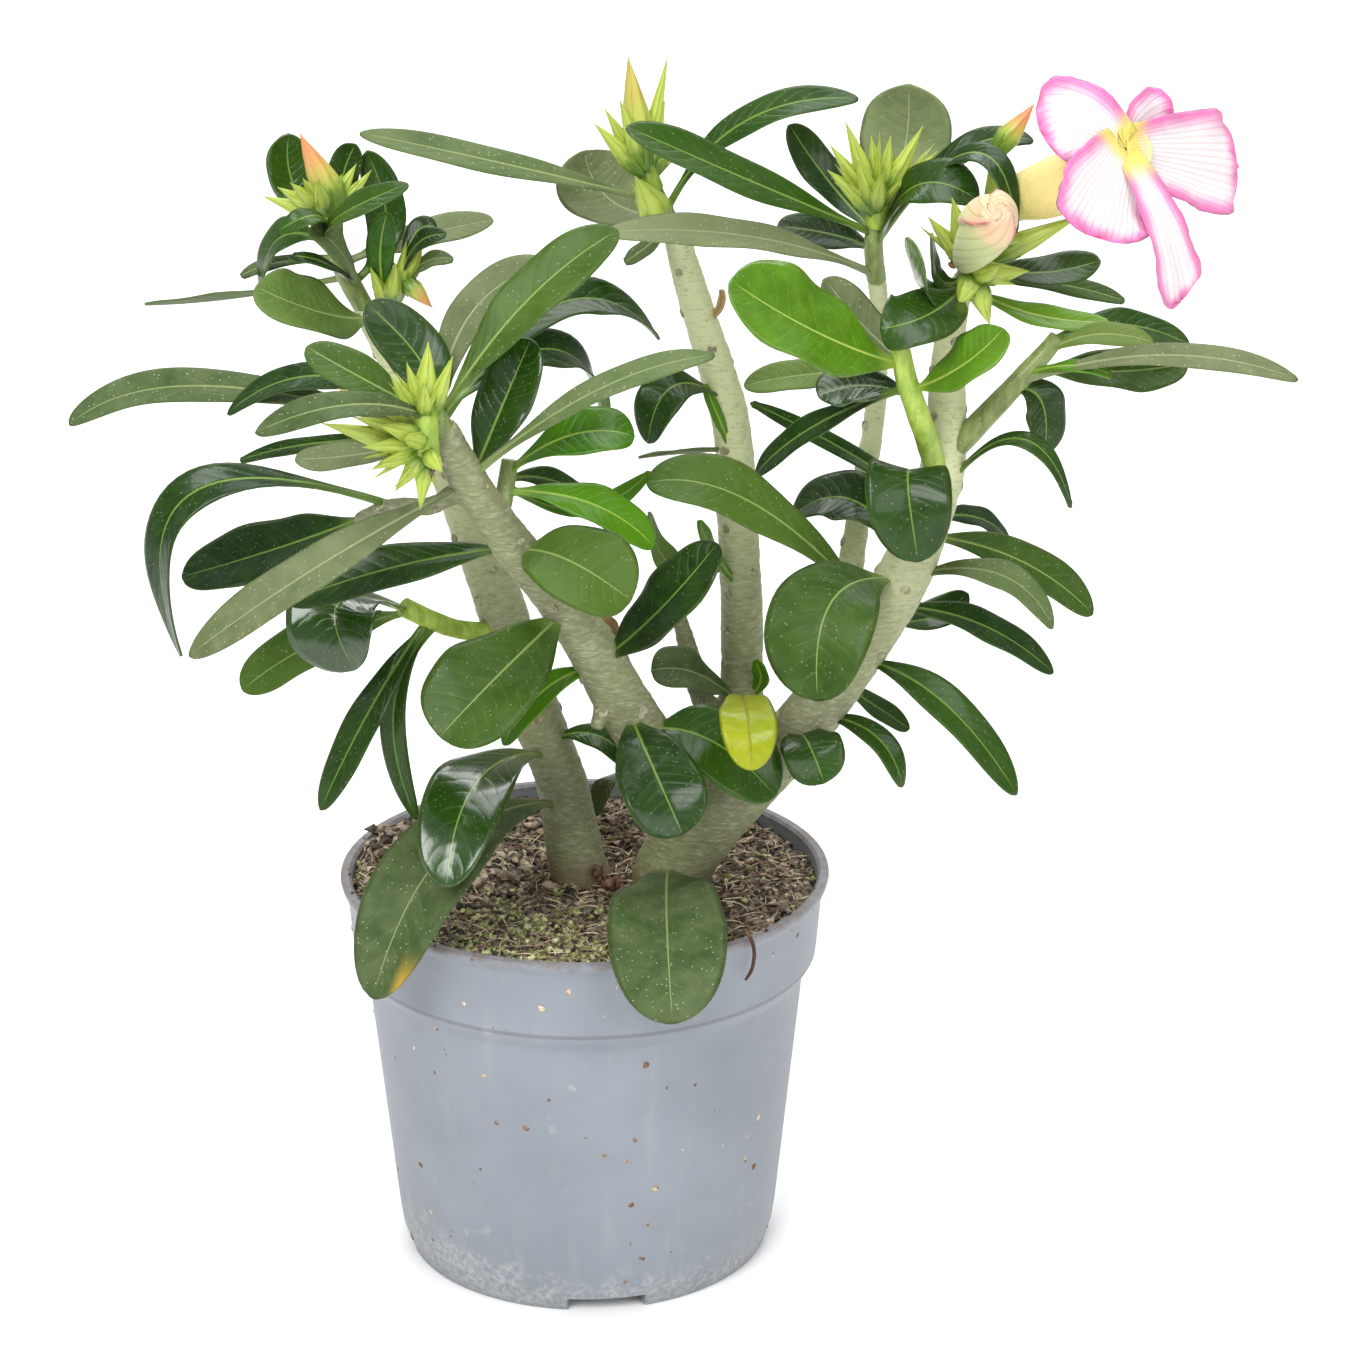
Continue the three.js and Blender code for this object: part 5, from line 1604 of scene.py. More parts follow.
@dataclass
class RolledBud:
    """The large bud before it opens: petals rolled round each other, with a spiral end."""

    rows: Chain
    steps: int = 40
    sides: int = 60
    petals: int = 3
    twist: float = 1.6
    end_twist: float = 1.3
    end_steps: int = 9

    def build(self, kit: Kit) -> Object:
        """Builds the roll with an end that winds inwards."""
        rings, shares = tube_rings(self.rows, self.steps, self.sides)
        centres = rings.mean(axis=1, keepdims=True)
        turns = round_turns(self.sides)
        ridge = np.array([pinwheel(turns, self.twist * share, self.petals) for share in shares])
        swell = 1 + 0.26 * (ridge - 0.6) * np.clip(1.6 * shares - 0.3, 0, 1)[:, None]
        rings = centres + (rings - centres) * swell[..., None]
        wound, wound_ridge = self.wound_end(rings[-1], centres[-1], turns)
        rings = np.concatenate([rings, wound])
        ridge = np.concatenate([ridge, wound_ridge])
        along = np.concatenate([shares, np.full(len(wound), 1.0)])
        opening = np.clip((along - 0.6) / 0.25, 0, 1)[:, None]
        line = np.clip((ridge - 0.86) / 0.14, 0, 1) * (0.25 + 0.75 * opening)
        edge = np.clip(0.5 * opening + line, 0, 1)
        skin = Skin()
        values = {"along": 0.2 + 0.8 * along[:, None], "edge": edge, "across": 6 * ridge}
        skin.add(rings, kit.material(ROLLED), **values)
        return skin.piece("rolled_bud_fine")

    def wound_end(
        self, last: np.ndarray, centre: np.ndarray, turns: np.ndarray
    ) -> tuple[np.ndarray, np.ndarray]:
        """Rings that wind inwards from the bud's last ring, and where they lie across its petals."""
        rings, ridges = [], []
        for share in np.linspace(0.85, 0.06, self.end_steps):
            ridge = pinwheel(turns, self.twist + self.end_twist * (1 - share), self.petals)
            reach = share * (1 + 0.25 * (ridge - 0.5))
            rings.append(centre + (last - centre) * reach[:, None])
            ridges.append(ridge)
        return np.array(rings), np.array(ridges)


# The pot


@dataclass
class Pot:
    """The grow pot: one thin moulding with a rim, a collar, a notched foot and drain holes."""

    columns_between: int = 44
    edge_step_deg: float = 0.12
    lip: float = 0.7
    sharp_from_deg: float = 35.0

    def profile(self) -> list[tuple[float, float]]:
        """The wall's radius and height, from the middle of its underside round to the middle of its floor."""
        wall = POT_WALL
        lip = self.lip
        shoulder = (COLLAR_FOOT_HEIGHT - BODY_TOP_HEIGHT) / 2
        return [
            (0.02, 0),
            (PAD_RADIUS - FLOOR_UNDERSIDE / 2, 0),
            (PAD_RADIUS, FLOOR_UNDERSIDE),
            (FOOT_INNER_RADIUS - wall, FLOOR_UNDERSIDE),
            (FOOT_INNER_RADIUS, 0),
            (FOOT_RADIUS - 0.6, 0),
            (FOOT_RADIUS, 0.5),
            (FOOT_RADIUS + 0.9, NOTCH_HEIGHT + 0.2),
            (BODY_FOOT_RADIUS, BODY_FOOT_HEIGHT),
            (BODY_FOOT_RADIUS + 0.6, BODY_FOOT_HEIGHT + 4),
            (BODY_TOP_RADIUS - 0.7, BODY_TOP_HEIGHT - 7),
            (BODY_TOP_RADIUS - 0.2, BODY_TOP_HEIGHT - 1),
            (BODY_TOP_RADIUS + 0.5, BODY_TOP_HEIGHT),
            (COLLAR_FOOT_RADIUS - 0.9, BODY_TOP_HEIGHT + shoulder),
            (COLLAR_FOOT_RADIUS - 0.1, COLLAR_FOOT_HEIGHT - 0.8),
            (COLLAR_FOOT_RADIUS + 0.1, COLLAR_FOOT_HEIGHT + 0.8),
            (COLLAR_TOP_RADIUS - 0.1, POT_HEIGHT - 2 * RIM_LIP - 0.8),
            (COLLAR_TOP_RADIUS + 0.3, POT_HEIGHT - 2 * RIM_LIP),
            (RIM_RADIUS - 0.3, POT_HEIGHT - RIM_LIP - 0.3),
            (RIM_RADIUS, POT_HEIGHT - lip),
            (RIM_RADIUS - 0.2 * lip, POT_HEIGHT - 0.2 * lip),
            (RIM_RADIUS - lip, POT_HEIGHT),
            (COLLAR_TOP_RADIUS - wall + lip, POT_HEIGHT),
            (COLLAR_TOP_RADIUS - wall, POT_HEIGHT - lip),
            (COLLAR_FOOT_RADIUS - wall, COLLAR_FOOT_HEIGHT + wall / 2),
            (BODY_TOP_RADIUS - wall, BODY_TOP_HEIGHT + wall / 2),
            (BODY_FOOT_RADIUS - wall, BODY_FOOT_HEIGHT),
            (FOOT_RADIUS - wall, FLOOR_UNDERSIDE + wall),
            (0.02, FLOOR_UNDERSIDE + wall),
        ]

    def columns(self) -> list[tuple[float, bool]]:
        """Turns round the pot in degrees, each with whether it lies in a notch."""
        reach = math.degrees(NOTCH_WIDTH / 2 / FOOT_RADIUS)
        pitch = 360 / NOTCH_COUNT
        turns = []
        for i in range(NOTCH_COUNT):
            middle = NOTCH_TURN_DEG - 90 + pitch * i
            inside = np.linspace(-reach, reach, self.columns_between // 2)
            edge = reach + self.edge_step_deg
            outside = np.linspace(edge, pitch - edge, self.columns_between)
            turns += [(middle + turn, True) for turn in inside]
            turns += [(middle + turn, False) for turn in outside]
        return turns

    def build(self, kit: Kit) -> Object:
        """Turns the section round, lifts the notches and bores the drain holes."""
        rings = []
        columns = self.columns()
        for radius, height in self.profile():
            lifted = max(height, NOTCH_HEIGHT) if radius >= FOOT_INNER_RADIUS else height
            ring = []
            for turn, notched in columns:
                angle = math.radians(turn)
                top = lifted if notched else height
                ring.append((radius * math.cos(angle), radius * math.sin(angle), top))
            rings.append(ring)
        skin = Skin()
        skin.add(np.array(rings), kit.material(POT_PLASTIC))
        pot = skin.piece("pot_fine")
        drill = self.drill()
        bore = pot.modifiers.new("drain_holes", "BOOLEAN")
        bore.operation = "DIFFERENCE"
        bore.solver = "EXACT"
        bore.object = drill
        settled(pot)
        bpy.data.objects.remove(drill)
        pot.data.set_sharp_from_angle(angle=math.radians(self.sharp_from_deg))
        root = ROOT_SWEEP.limbs(kit, "hanging_root", (HANGING_ROOT,), ROOT)
        return joined("pot_fine", [pot, self.splashes(kit), root])

    def splashes(self, kit: Kit) -> Object:
        """Dried splashes of earth on the outside of the wall, thickest at the foot on the right."""
        turns = round_turns(120)
        heights = np.linspace(POT_HEIGHT - 6, 3.0, 40)
        corners = (
            (0, FOOT_RADIUS),
            (BODY_FOOT_HEIGHT, BODY_FOOT_RADIUS),
            (BODY_TOP_HEIGHT, BODY_TOP_RADIUS),
            (COLLAR_FOOT_HEIGHT, COLLAR_FOOT_RADIUS),
            (POT_HEIGHT, COLLAR_TOP_RADIUS),
        )
        radii = np.interp(heights, *zip(*corners))
        x, y = radii[:, None] * np.cos(turns), radii[:, None] * np.sin(turns)
        z = np.broadcast_to(heights[:, None], x.shape)
        thick = 0.12 + 0.5 * (np.sin(2 * x * 0.05 + 0.4) * (1 - z / POT_HEIGHT)) ** 2
        thick += 0.5 * ((z > COLLAR_FOOT_HEIGHT + 3) & (np.abs(x) < 22) & (y < 0))
        return SPLASH_LAYER.strew(kit, ring_patch("splashes", x, y, z, thick))

    def drill(self) -> Object:
        """One round bar for each drain hole."""
        skin = Skin()
        turns = round_turns(24)
        for angle in round_turns(DRAIN_COUNT):
            x, y = DRAIN_CIRCLE_RADIUS * math.cos(angle), DRAIN_CIRCLE_RADIUS * math.sin(angle)
            ring = [(x + DRAIN_RADIUS * math.cos(t), y + DRAIN_RADIUS * math.sin(t)) for t in turns]
            skin.add(np.array([[(*spot, height) for spot in ring] for height in (-2, 8)]), None)
        return skin.piece("drain_drill")


# The soil


@dataclass
class Soil:
    """The peat that fills the pot, strewn with lumps, lichen crumbs, fibres and grit."""

    sides: int = 150
    rings: int = 56
    fine_height: float = 1.5

    def height(self, x: np.ndarray, y: np.ndarray) -> np.ndarray:
        """The height of the soil's smooth top, with its mound at the back left."""
        reach = np.hypot(x - SOIL_MOUND[0], y - SOIL_MOUND[1]) / SOIL_MOUND_SPREAD
        wave = np.sin(x * SOIL_CLOD_WAVE) * np.cos(y * SOIL_CLOD_WAVE) + np.sin((x - y) * SOIL_LONG_WAVE)
        return SOIL_LEVEL + SOIL_ROUGHNESS * wave / 2 + SOIL_MOUND_HEIGHT * np.exp(-(reach**2))

    def lumps(self, x: np.ndarray, y: np.ndarray) -> np.ndarray:
        """Finer unevenness on the smooth top."""
        wave = np.sin(1.9 * x + 2.1 * np.sin(0.7 * y)) * np.sin(1.7 * y + 1.6 * np.sin(0.9 * x))
        wave += 0.5 * np.sin(4.1 * x - 1.3 * y) * np.sin(3.7 * y + 2.0 * x)
        return self.fine_height / 2 * wave

    def body(self, kit: Kit) -> Object:
        """The closed body of the peat."""
        turns = round_turns(self.sides)
        floor = FLOOR_UNDERSIDE + POT_WALL + SOIL_GAP
        wall = [
            (0.05, floor),
            (FOOT_RADIUS - POT_WALL - 1.2, floor),
            (BODY_FOOT_RADIUS - POT_WALL - SOIL_GAP, BODY_FOOT_HEIGHT + SOIL_GAP),
            (BODY_TOP_RADIUS - POT_WALL - SOIL_GAP, BODY_TOP_HEIGHT + SOIL_GAP),
            (COLLAR_FOOT_RADIUS - POT_WALL - SOIL_GAP, COLLAR_FOOT_HEIGHT + 1),
        ]
        rings = [[(r * math.cos(t), r * math.sin(t), z) for t in turns] for r, z in wall]
        for share in np.linspace(1, 0.002, self.rings):
            radius = (COLLAR_TOP_RADIUS - POT_WALL - SOIL_GAP) * share
            x, y = radius * np.cos(turns), radius * np.sin(turns)
            z = self.height(x, y) + self.lumps(x, y) * min(1.0, 8 * share)
            rings.append(np.stack([x, y, z], axis=1).tolist())
        skin = Skin()
        skin.add(np.array(rings), kit.material(PEAT))
        return skin.piece("soil_body")

    def patch(self, layer: "Strewn") -> Object:
        """The ring of the soil's top, or of the pot's rim, that a layer is strewn on."""
        radii = np.linspace(layer.low, layer.high, 24)
        turns = round_turns(96)
        x = radii[:, None] * np.cos(turns)
        y = radii[:, None] * np.sin(turns)
        over_rim = radii[:, None] > COLLAR_TOP_RADIUS - POT_WALL
        z = np.where(over_rim, POT_HEIGHT, self.height(x, y) + 0.4 * self.lumps(x, y))
        return ring_patch(layer.name, x, y, z, layer.thick(x, y))

    def build(self, kit: Kit) -> Object:
        """Builds the peat and its own lumps and crumbs as one piece."""
        return joined("soil_fine", [self.body(kit), *self.strewn(kit, PEAT_LAYERS)])

    def litter(self, kit: Kit) -> Object:
        """Builds the lichen, fibres and grit that lie on the peat and on the rim as one piece."""
        return joined("soil_litter", self.strewn(kit, LITTER_LAYERS))

    def strewn(self, kit: Kit, layers: tuple["Strewn", ...]) -> list[Object]:
        """Strews each layer over its own ring."""
        rings = [self.patch(layer) for layer in layers]
        return [layer.strew(kit, ring) for layer, ring in zip(layers, rings)]


def ring_patch(name: str, x: np.ndarray, y: np.ndarray, z: np.ndarray, thick: np.ndarray) -> Object:
    """Rings of points joined into an open sheet for things to be strewn on.

    Args:
        name: The sheet's name.
        x: Across, as rows of rings.
        y: Behind, in the same rows.
        z: Up, in the same rows.
        thick: How thickly each point is strewn, from 0 to 1.

    Returns:
        The sheet.
    """
    points = np.stack([x, y, z], axis=-1).reshape(-1, 3) * MM
    numbers = np.arange(len(points)).reshape(x.shape)
    after = np.roll(numbers, -1, axis=1)
    faces = np.stack([numbers[:-1], numbers[1:], after[1:], after[:-1]], axis=-1).reshape(-1, 4)
    mesh = bpy.data.meshes.new(name)
    mesh.from_pydata(points.tolist(), [], faces.tolist())
    share = np.clip(thick, 0, 1).reshape(-1).astype(np.float32)
    mark(mesh, "strewn", share)
    return new_object(name, mesh)


TRIES_EACH = 4.0


@dataclass(frozen=True)
class Strewn:
    """One layer of small forms on a ring between two radii.

    The smallest and the largest are how many times as large as the form its copies are. The function gives
    how thickly the layer lies at each place, from 0 to 1.
    """

    name: str
    finish: EarthFinish
    maker: Callable[[], Object]
    low: float
    high: float
    spacing: float
    smallest: float
    largest: float
    flatness: float
    seed: int
    thick: Callable[[np.ndarray, np.ndarray], np.ndarray]

    def strew(self, kit: Kit, patch: Object) -> Object:
        """Strews the layer over a patch."""
        values = {
            "Form": kit.form(self.maker),
            "Density": TRIES_EACH / (self.spacing * MM) ** 2,
            "Spacing": self.spacing * MM,
            "Smallest": self.smallest,
            "Largest": self.largest,
            "Flatness": self.flatness,
            "Sunk": 0.0,
            "Seed": self.seed,
        }
        return grown(patch, kit.scatter, Finish=kit.material(self.finish), **values)


def everywhere(x: np.ndarray, y: np.ndarray) -> np.ndarray:
    """The same share all over."""
    return np.ones(np.broadcast(x, y).shape)


def on_mound(x: np.ndarray, y: np.ndarray) -> np.ndarray:
    """Thick on the mound at the back left, and thin elsewhere."""
    reach = np.hypot(x - SOIL_MOUND[0], y - SOIL_MOUND[1]) / (1.4 * SOIL_MOUND_SPREAD)
    return np.exp(-(reach**2)) + 0.04


def on_heap(x: np.ndarray, y: np.ndarray) -> np.ndarray:
    """Thick on the heap that stands above the rim at the back left, and none elsewhere."""
    reach = np.hypot(x - SOIL_HEAP[0], y - SOIL_HEAP[1]) / SOIL_HEAP_SPREAD
    return np.where(reach < 2, np.exp(-(reach**2)), 0.0)


def front_left(x: np.ndarray, y: np.ndarray) -> np.ndarray:
    """Thick along the front and the left, in patches."""
    front = np.clip((-y - 4) / 26, 0, 1) * np.clip((34 - x) / 30, 0, 1)
    patches = 0.5 + 0.5 * np.sin(0.21 * x + 0.9) * np.sin(0.27 * y)
    return front * (0.35 + 0.65 * patches) + 0.1 * patches


def rim_front(x: np.ndarray, y: np.ndarray) -> np.ndarray:
    """A few on the front of the rim and at its left, and hardly any behind."""
    front = np.clip((-y + 10) / 60, 0, 1) * (0.5 + 0.5 * np.sin(0.17 * x + 0.4))
    left = np.clip((-x - 30) / 40, 0, 1)
    return 0.5 * front + 0.5 * left + 0.03


def small_lump(radius: float, rough: float, seed: int, flat: float = 1.0) -> np.ndarray:
    """Rings of a rough little ball, in millimetres."""
    dice = np.random.default_rng(seed)
    turns = round_turns(6)
    rings = []
    for tilt in np.linspace(0.25, math.pi - 0.25, 4):
        reach = radius * (1 + rough * (dice.random(6) - 0.5))
        x, y = reach * math.sin(tilt) * np.cos(turns), reach * math.sin(tilt) * np.sin(turns)
        rings.append(np.stack([x, y, -flat * reach * math.cos(tilt)], axis=1))
    return np.array(rings)


def lump_form() -> Object:
    """A rough crumb about a millimetre across."""
    skin = Skin()
    skin.add(small_lump(0.5, 0.9, 3), None)
    return skin.piece("lump_form")


def flake_form() -> Object:
    """A little tuft of two crumpled flakes."""
    skin = Skin()
    for seed, (x, y, z) in enumerate(((0.0, 0.0, 0.05), (0.38, 0.25, 0.25))):
        skin.add(small_lump(0.42, 1.3, 20 + seed, 0.45) + (x, y, z), None)
    return skin.piece("flake_form")


def fibre_form() -> Object:
    """A bent fibre about five millimetres long."""
    skin = Skin()
    turns = round_turns(5)
    rings = []
    for t in np.linspace(-1, 1, 8):
        x, y, z = 2.6 * t, 0.9 * math.sin(2.2 * t), 0.25 + 0.5 * math.cos(1.9 * t)
        radius = 0.11 * (1 - 0.5 * t * t)
        rings.append([(x, y + radius * math.cos(a), z + radius * math.sin(a)) for a in turns])
    skin.add(np.array(rings), None)
    return skin.piece("fibre_form")


# The layers: name, finish, form, inner and outer radius, spacing, smallest, largest, flatness, seed, spread.
# The splashes lie on the pot's wall, so their layer has no radii of its own.

SPLASH_LAYER = Strewn("splashes", SPLASH, lump_form, 0, 0, 5.0, 0.5, 1.9, 0.35, 21, everywhere)
PEAT_LAYERS = (
    Strewn("peat_lumps", PEAT_LUMP, flake_form, 0, SOIL_EDGE, 3.0, 1.4, 3.6, 0.6, 11, everywhere),
    Strewn("mound_lumps", PEAT_LUMP, flake_form, 0, SOIL_EDGE - 3, 2.7, 2.6, 6.5, 0.7, 12, on_mound),
    Strewn("heap_lumps", PEAT_LUMP, flake_form, 0, SOIL_EDGE - 1, 3.6, 5.0, 9.5, 0.9, 20, on_heap),
    Strewn("peat_crumbs", PEAT, lump_form, 0, SOIL_EDGE, 2.0, 0.9, 2.0, 0.9, 13, everywhere),
)
LITTER_LAYERS = (
    Strewn("lichen_crumbs", LICHEN, flake_form, 0, SOIL_EDGE, 1.9, 1.3, 3.4, 1.0, 14, front_left),
    Strewn("lichen_thin", LICHEN, flake_form, 0, SOIL_EDGE, 4.5, 0.9, 2.0, 1.0, 15, everywhere),
    Strewn("fibres", FIBRE, fibre_form, 0, SOIL_EDGE, 2.8, 0.8, 2.1, 0.9, 16, everywhere),
    Strewn("grit", GRIT, lump_form, 0, SOIL_EDGE, 8.0, 0.8, 1.7, 0.9, 17, everywhere),
    Strewn("rim_crumbs", PEAT_LUMP, lump_form, 57.6, 59.4, 2.6, 0.4, 1.1, 0.8, 18, rim_front),
    Strewn("rim_fibres", FIBRE, fibre_form, 57.8, 59.0, 7.0, 0.3, 0.7, 1.0, 19, rim_front),
)

# The wood: places across, up and behind, each with a width, up each limb from its foot

LEFT_STEM = (
    (1, 58, 3, 11), (0, 90, 2, 15), (-2, 100, 2, 14.5), (-5.5, 120, 4, 12.8), (-10, 134, 5, 12.6),
    (-16, 152, 7, 12.6), (-21, 170, 9, 12), (-28, 190, 12, 10), (-36, 210, 14, 8), (-45, 228, 15, 6.4),
    (-51, 241, 15, 5.6),
)
RIGHT_STEM = (
    (20, 58, 0, 13), (20, 90, -1, 18), (23, 101, -2, 19), (29, 111, -3, 20), (40, 122, -4, 17),
    (52, 134, -6, 14.5), (61, 147, -8, 14), (70, 161, -9, 13.5), (77, 174, -9, 13), (82, 187, -9, 11.5),
    (85.5, 200, -8, 11), (86.5, 212, -6, 9.8), (86.5, 225, -3, 8.6), (87.5, 238, 0, 7), (90, 248, 2, 5.5),
)
REAR_LIMB = (
    (62, 150, -6, 8), (63, 165, 8, 7), (66, 190, 21, 6), (69.5, 215, 24, 5.4), (70, 238, 20, 5),
    (69, 251, 16, 4.6),
)
MIDDLE_LIMB = (
    (31, 108, 0, 14), (37, 128, 8, 12), (38.3, 150, 12, 10.8), (38, 170, 15, 10.4), (37, 190, 17, 10),
    (35.8, 210, 18, 9.4), (32, 225, 18, 8.8), (28, 238, 17, 8.2), (24.5, 250, 16, 7.4), (22, 259, 15, 5.8),
)
FRONT_LIMB = (
    (28, 106, -4, 14), (19, 125, -9, 14), (11, 139, -14, 13.6), (3, 154, -20, 12.4), (-6, 168, -26, 11),
    (-16, 181, -32, 10), (-24, 193, -37, 9.2), (-30, 204, -41, 8.4), (-33, 211, -43, 7),
)
FRONT_TWIG = (
    (-27, 197, -38, 5), (-36, 191.5, -35, 4.4), (-45, 191.5, -32, 4), (-54, 188, -28, 3.2),
)
CUT_STUB = (
    (6, 147, -17, 5), (4.5, 141, -20, 4), (3, 134.5, -22, 3.4),
)
BROWN_TWIG = (
    (36, 133, 5, 7), (29, 142, 8, 6), (26, 153, 10, 5.2), (23, 164, 11, 4),
)

WOODS = (
    Wood("stem_left_fine", "stem_left", (LEFT_STEM,)),
    Wood(
        "stem_right_fine",
        "stem_right",
        (RIGHT_STEM, REAR_LIMB, MIDDLE_LIMB, FRONT_LIMB, FRONT_TWIG, CUT_STUB, BROWN_TWIG),
    ),
)

# Leafy shoots and bunches of buds

UPPER_LEFT_SHOOT = Shoot(
    "shoot_upper_left_fine",
    (((-50, 239, 15, 5), (-54.5, 248, 14, 5.2), (-57, 256, 14, 5), (-59, 263, 13, 4)),),
    (
        Leaf((-60, 258, 14), (-66.5, 270, 19), (-67, 281.5, 18), 11, Look.GLOSSY),
        Leaf((-56, 258, 16), (-55, 270, 21), (-51.5, 279, 21), 8, Look.DARK),
        Leaf((-52, 247, 15), (-45, 260, 22), (-49, 277.5, 22), 10, Look.DARK),
        Leaf((-58.5, 257, 12), (-55.5, 262, -4), (-39.5, 269.5, -6), 9, Look.DARK),
        Leaf((-58.5, 257, 12), (-61, 262, -2), (-70, 258.5, -4), 6, Look.DARK),
        Leaf((-59, 256, 14), (-70, 256.5, 22), (-74.5, 243.5, 24), 12, Look.DARK),
        Leaf((-50, 237.5, 15), (-61.5, 239, 0), (-76, 245, -4), 20, Look.PALE),
        Leaf((-52.5, 246, 14), (-55.5, 253, 3), (-62.5, 259.5, 1), 10, Look.DUSTY),
        Leaf((-52.5, 246, 14), (-59, 250.5, -1), (-67, 252.5, -3), 4.5, Look.DARK),
        Leaf((-54, 248, 14), (-80, 243, 28), (-102, 241, 30), 9, Look.DUSTY, roll=55),
        Leaf((-56, 252, 14), (-70, 251, 28), (-79, 247.5, 29), 5, Look.DUSTY),
        Leaf((-55, 251, 14), (-38, 257, 24), (-20, 261, 26), 9, Look.GREY),
    ),
)
UPPER_LEFT_SIDE_SHOOT = Shoot(
    "shoot_upper_left_side_fine",
    (((-47, 233, 15, 4), (-44.5, 240, 12, 4), (-41, 247, 9, 4.4)),),
    (
        Leaf((-45, 240, 12), (-46.5, 252, 5), (-44.5, 263, 3), 7, Look.BRIGHT),
        Leaf((-42, 246, 9), (-38, 255, 4), (-31, 257.5, 2), 5.5, Look.DARK),
        Leaf((-42, 247, 10), (-38, 258, 15), (-33, 258.5, 15), 6, Look.DARK),
        Leaf((-41, 245, 9), (-36, 251, 6), (-29.5, 251.5, 6), 5, Look.DUSTY),
    ),
    (
        Bud((-45, 240, 11), (-49, 250, 4), 4),
        Bud((-44, 241, 10), (-43, 251, 2), 4.4),
        Bud((-42, 244, 9), (-40.5, 256, 6), 4.2),
        Bud((-41, 246, 9), (-36.5, 256.5, 6), 4.4),
        Bud((-41, 247, 8), (-34.5, 240, 5), 4.6, blush=0.8),
    ),
)
FRONT_SHOOT = Shoot(
    "shoot_front_fine",
    (((-32, 208, -42.5, 6.5), (-35, 214, -44, 6), (-36, 218, -45, 4.6)),),
    (
        Leaf((-35, 214, -43), (-37, 226, -32), (-50, 241, -28), 14, Look.DARK),
        Leaf((-35, 214, -43), (-50, 222, -46), (-64.5, 230.5, -44), 11, Look.FRESH),
        Leaf((-35, 213, -42), (-61, 223.5, -27), (-83.5, 214, -24), 9, Look.DARK),
        Leaf((-34, 209, -42), (-88, 221, -16), (-121, 211.5, -18), 10.5, Look.DUSTY),
        Leaf((-33, 212, -44), (-53, 216.5, -67), (-77, 209.5, -67), 8.5, Look.DUSTY),
        Leaf((-34, 208, -41), (-62, 207, -24), (-81, 202.5, -20), 5, Look.DARK),
        Leaf((-34, 208, -42), (-54, 204, -38), (-68, 203, -38), 8, Look.GREY),
        Leaf((-34, 211, -42), (-26, 238, -18), (-7, 250.5, -14), 11, Look.GREY),
        Leaf((-33, 212, -42), (-5, 241, -3), (18.5, 232.5, -1), 13, Look.DARK),
        Leaf((-33, 214, -43), (-13, 241, -38), (9, 258.5, -32), 14, Look.FRESH),
        Leaf((-34.5, 213, -42.5), (-8, 230, -12), (6, 213.5, -12), 14, Look.DARK),
    ),
)
TOP_SHOOT = Shoot(
    "shoot_top_fine",
    (((22.5, 257, 15, 5.8), (19, 264, 14, 5), (16.5, 270, 13, 4.4)),),
    (
        Leaf((17, 266, 13), (-18, 274.5, 4), (-50.5, 281.5, 2), 8.5, Look.DUSTY),
        Leaf((20, 262, 15), (7, 266, 24), (1, 277.5, 28), 22, Look.GREY),
        Leaf((20, 263, 15), (38, 284, 12), (64.5, 289.5, 10), 9, Look.DARK),
        Leaf((21, 260, 14), (16, 255, 6), (10.5, 251, 4), 4.5, Look.DUSTY),
    ),
    (
        Bud((19.5, 260, 13), (13, 271.5, 5), 8.4),
    ),
)
RIGHT_TOP_SHOOT = Shoot(
    "shoot_right_top_fine",
    (((69.3, 247, 17, 4.8), (68.5, 255, 14, 4.6), (69, 262, 12, 4.2)),),
    (
        Leaf((68.5, 258, 13), (38, 271, -4), (11, 283, -10), 12.5, Look.DARK),
        Leaf((69, 258, 13), (58, 270, 24), (48.5, 283.5, 24), 10, Look.DARK),
        Leaf((69, 259, 13), (75, 276, 30), (76, 293, 30), 22, Look.SAGE),
        Leaf((69.3, 248, 16.5), (40, 257, -6), (6, 258, -12), 10, Look.GREY),
        Leaf((69, 254, 15), (59, 257.5, 19), (46, 259.5, 19), 10, Look.DARK),
        Leaf((69, 254, 14), (78, 269, 1), (92.5, 265.5, -5), 14, Look.DARK),
        Leaf((69, 257, 14), (88, 277, 16), (105, 279.5, 16), 7.5, Look.DARK),
        Leaf((69, 256, 14), (91, 277, -2), (101.5, 258, -13), 7, Look.DARK),
    ),
)
FLOWER_SHOOT = Shoot(
    "shoot_flower_fine",
    (((89.5, 244.5, 2, 5.8), (91, 250, 0, 5), (92, 254, -1, 4.4)),),
    (
        Leaf((90, 246, 1), (81, 244, -13), (76.5, 257, -17), 15, Look.GLOSSY),
        Leaf((90.5, 248, 1), (84, 247, -4), (82, 258, -6), 7, Look.DARK),
        Leaf((90, 246, 1), (82, 238.5, -24), (70.5, 235, -29), 17, Look.DARK),
        Leaf((91, 250, 0), (108, 248.5, 6), (121.5, 251.5, 6), 10, Look.DARK),
        Leaf((90.5, 247, 1), (110, 246, 12), (127.5, 241.5, 12), 6.5, Look.FRESH),
        Leaf((90, 245.5, 1), (106, 238.5, 0), (124, 236.5, -2), 7, Look.LIME),
    ),
)
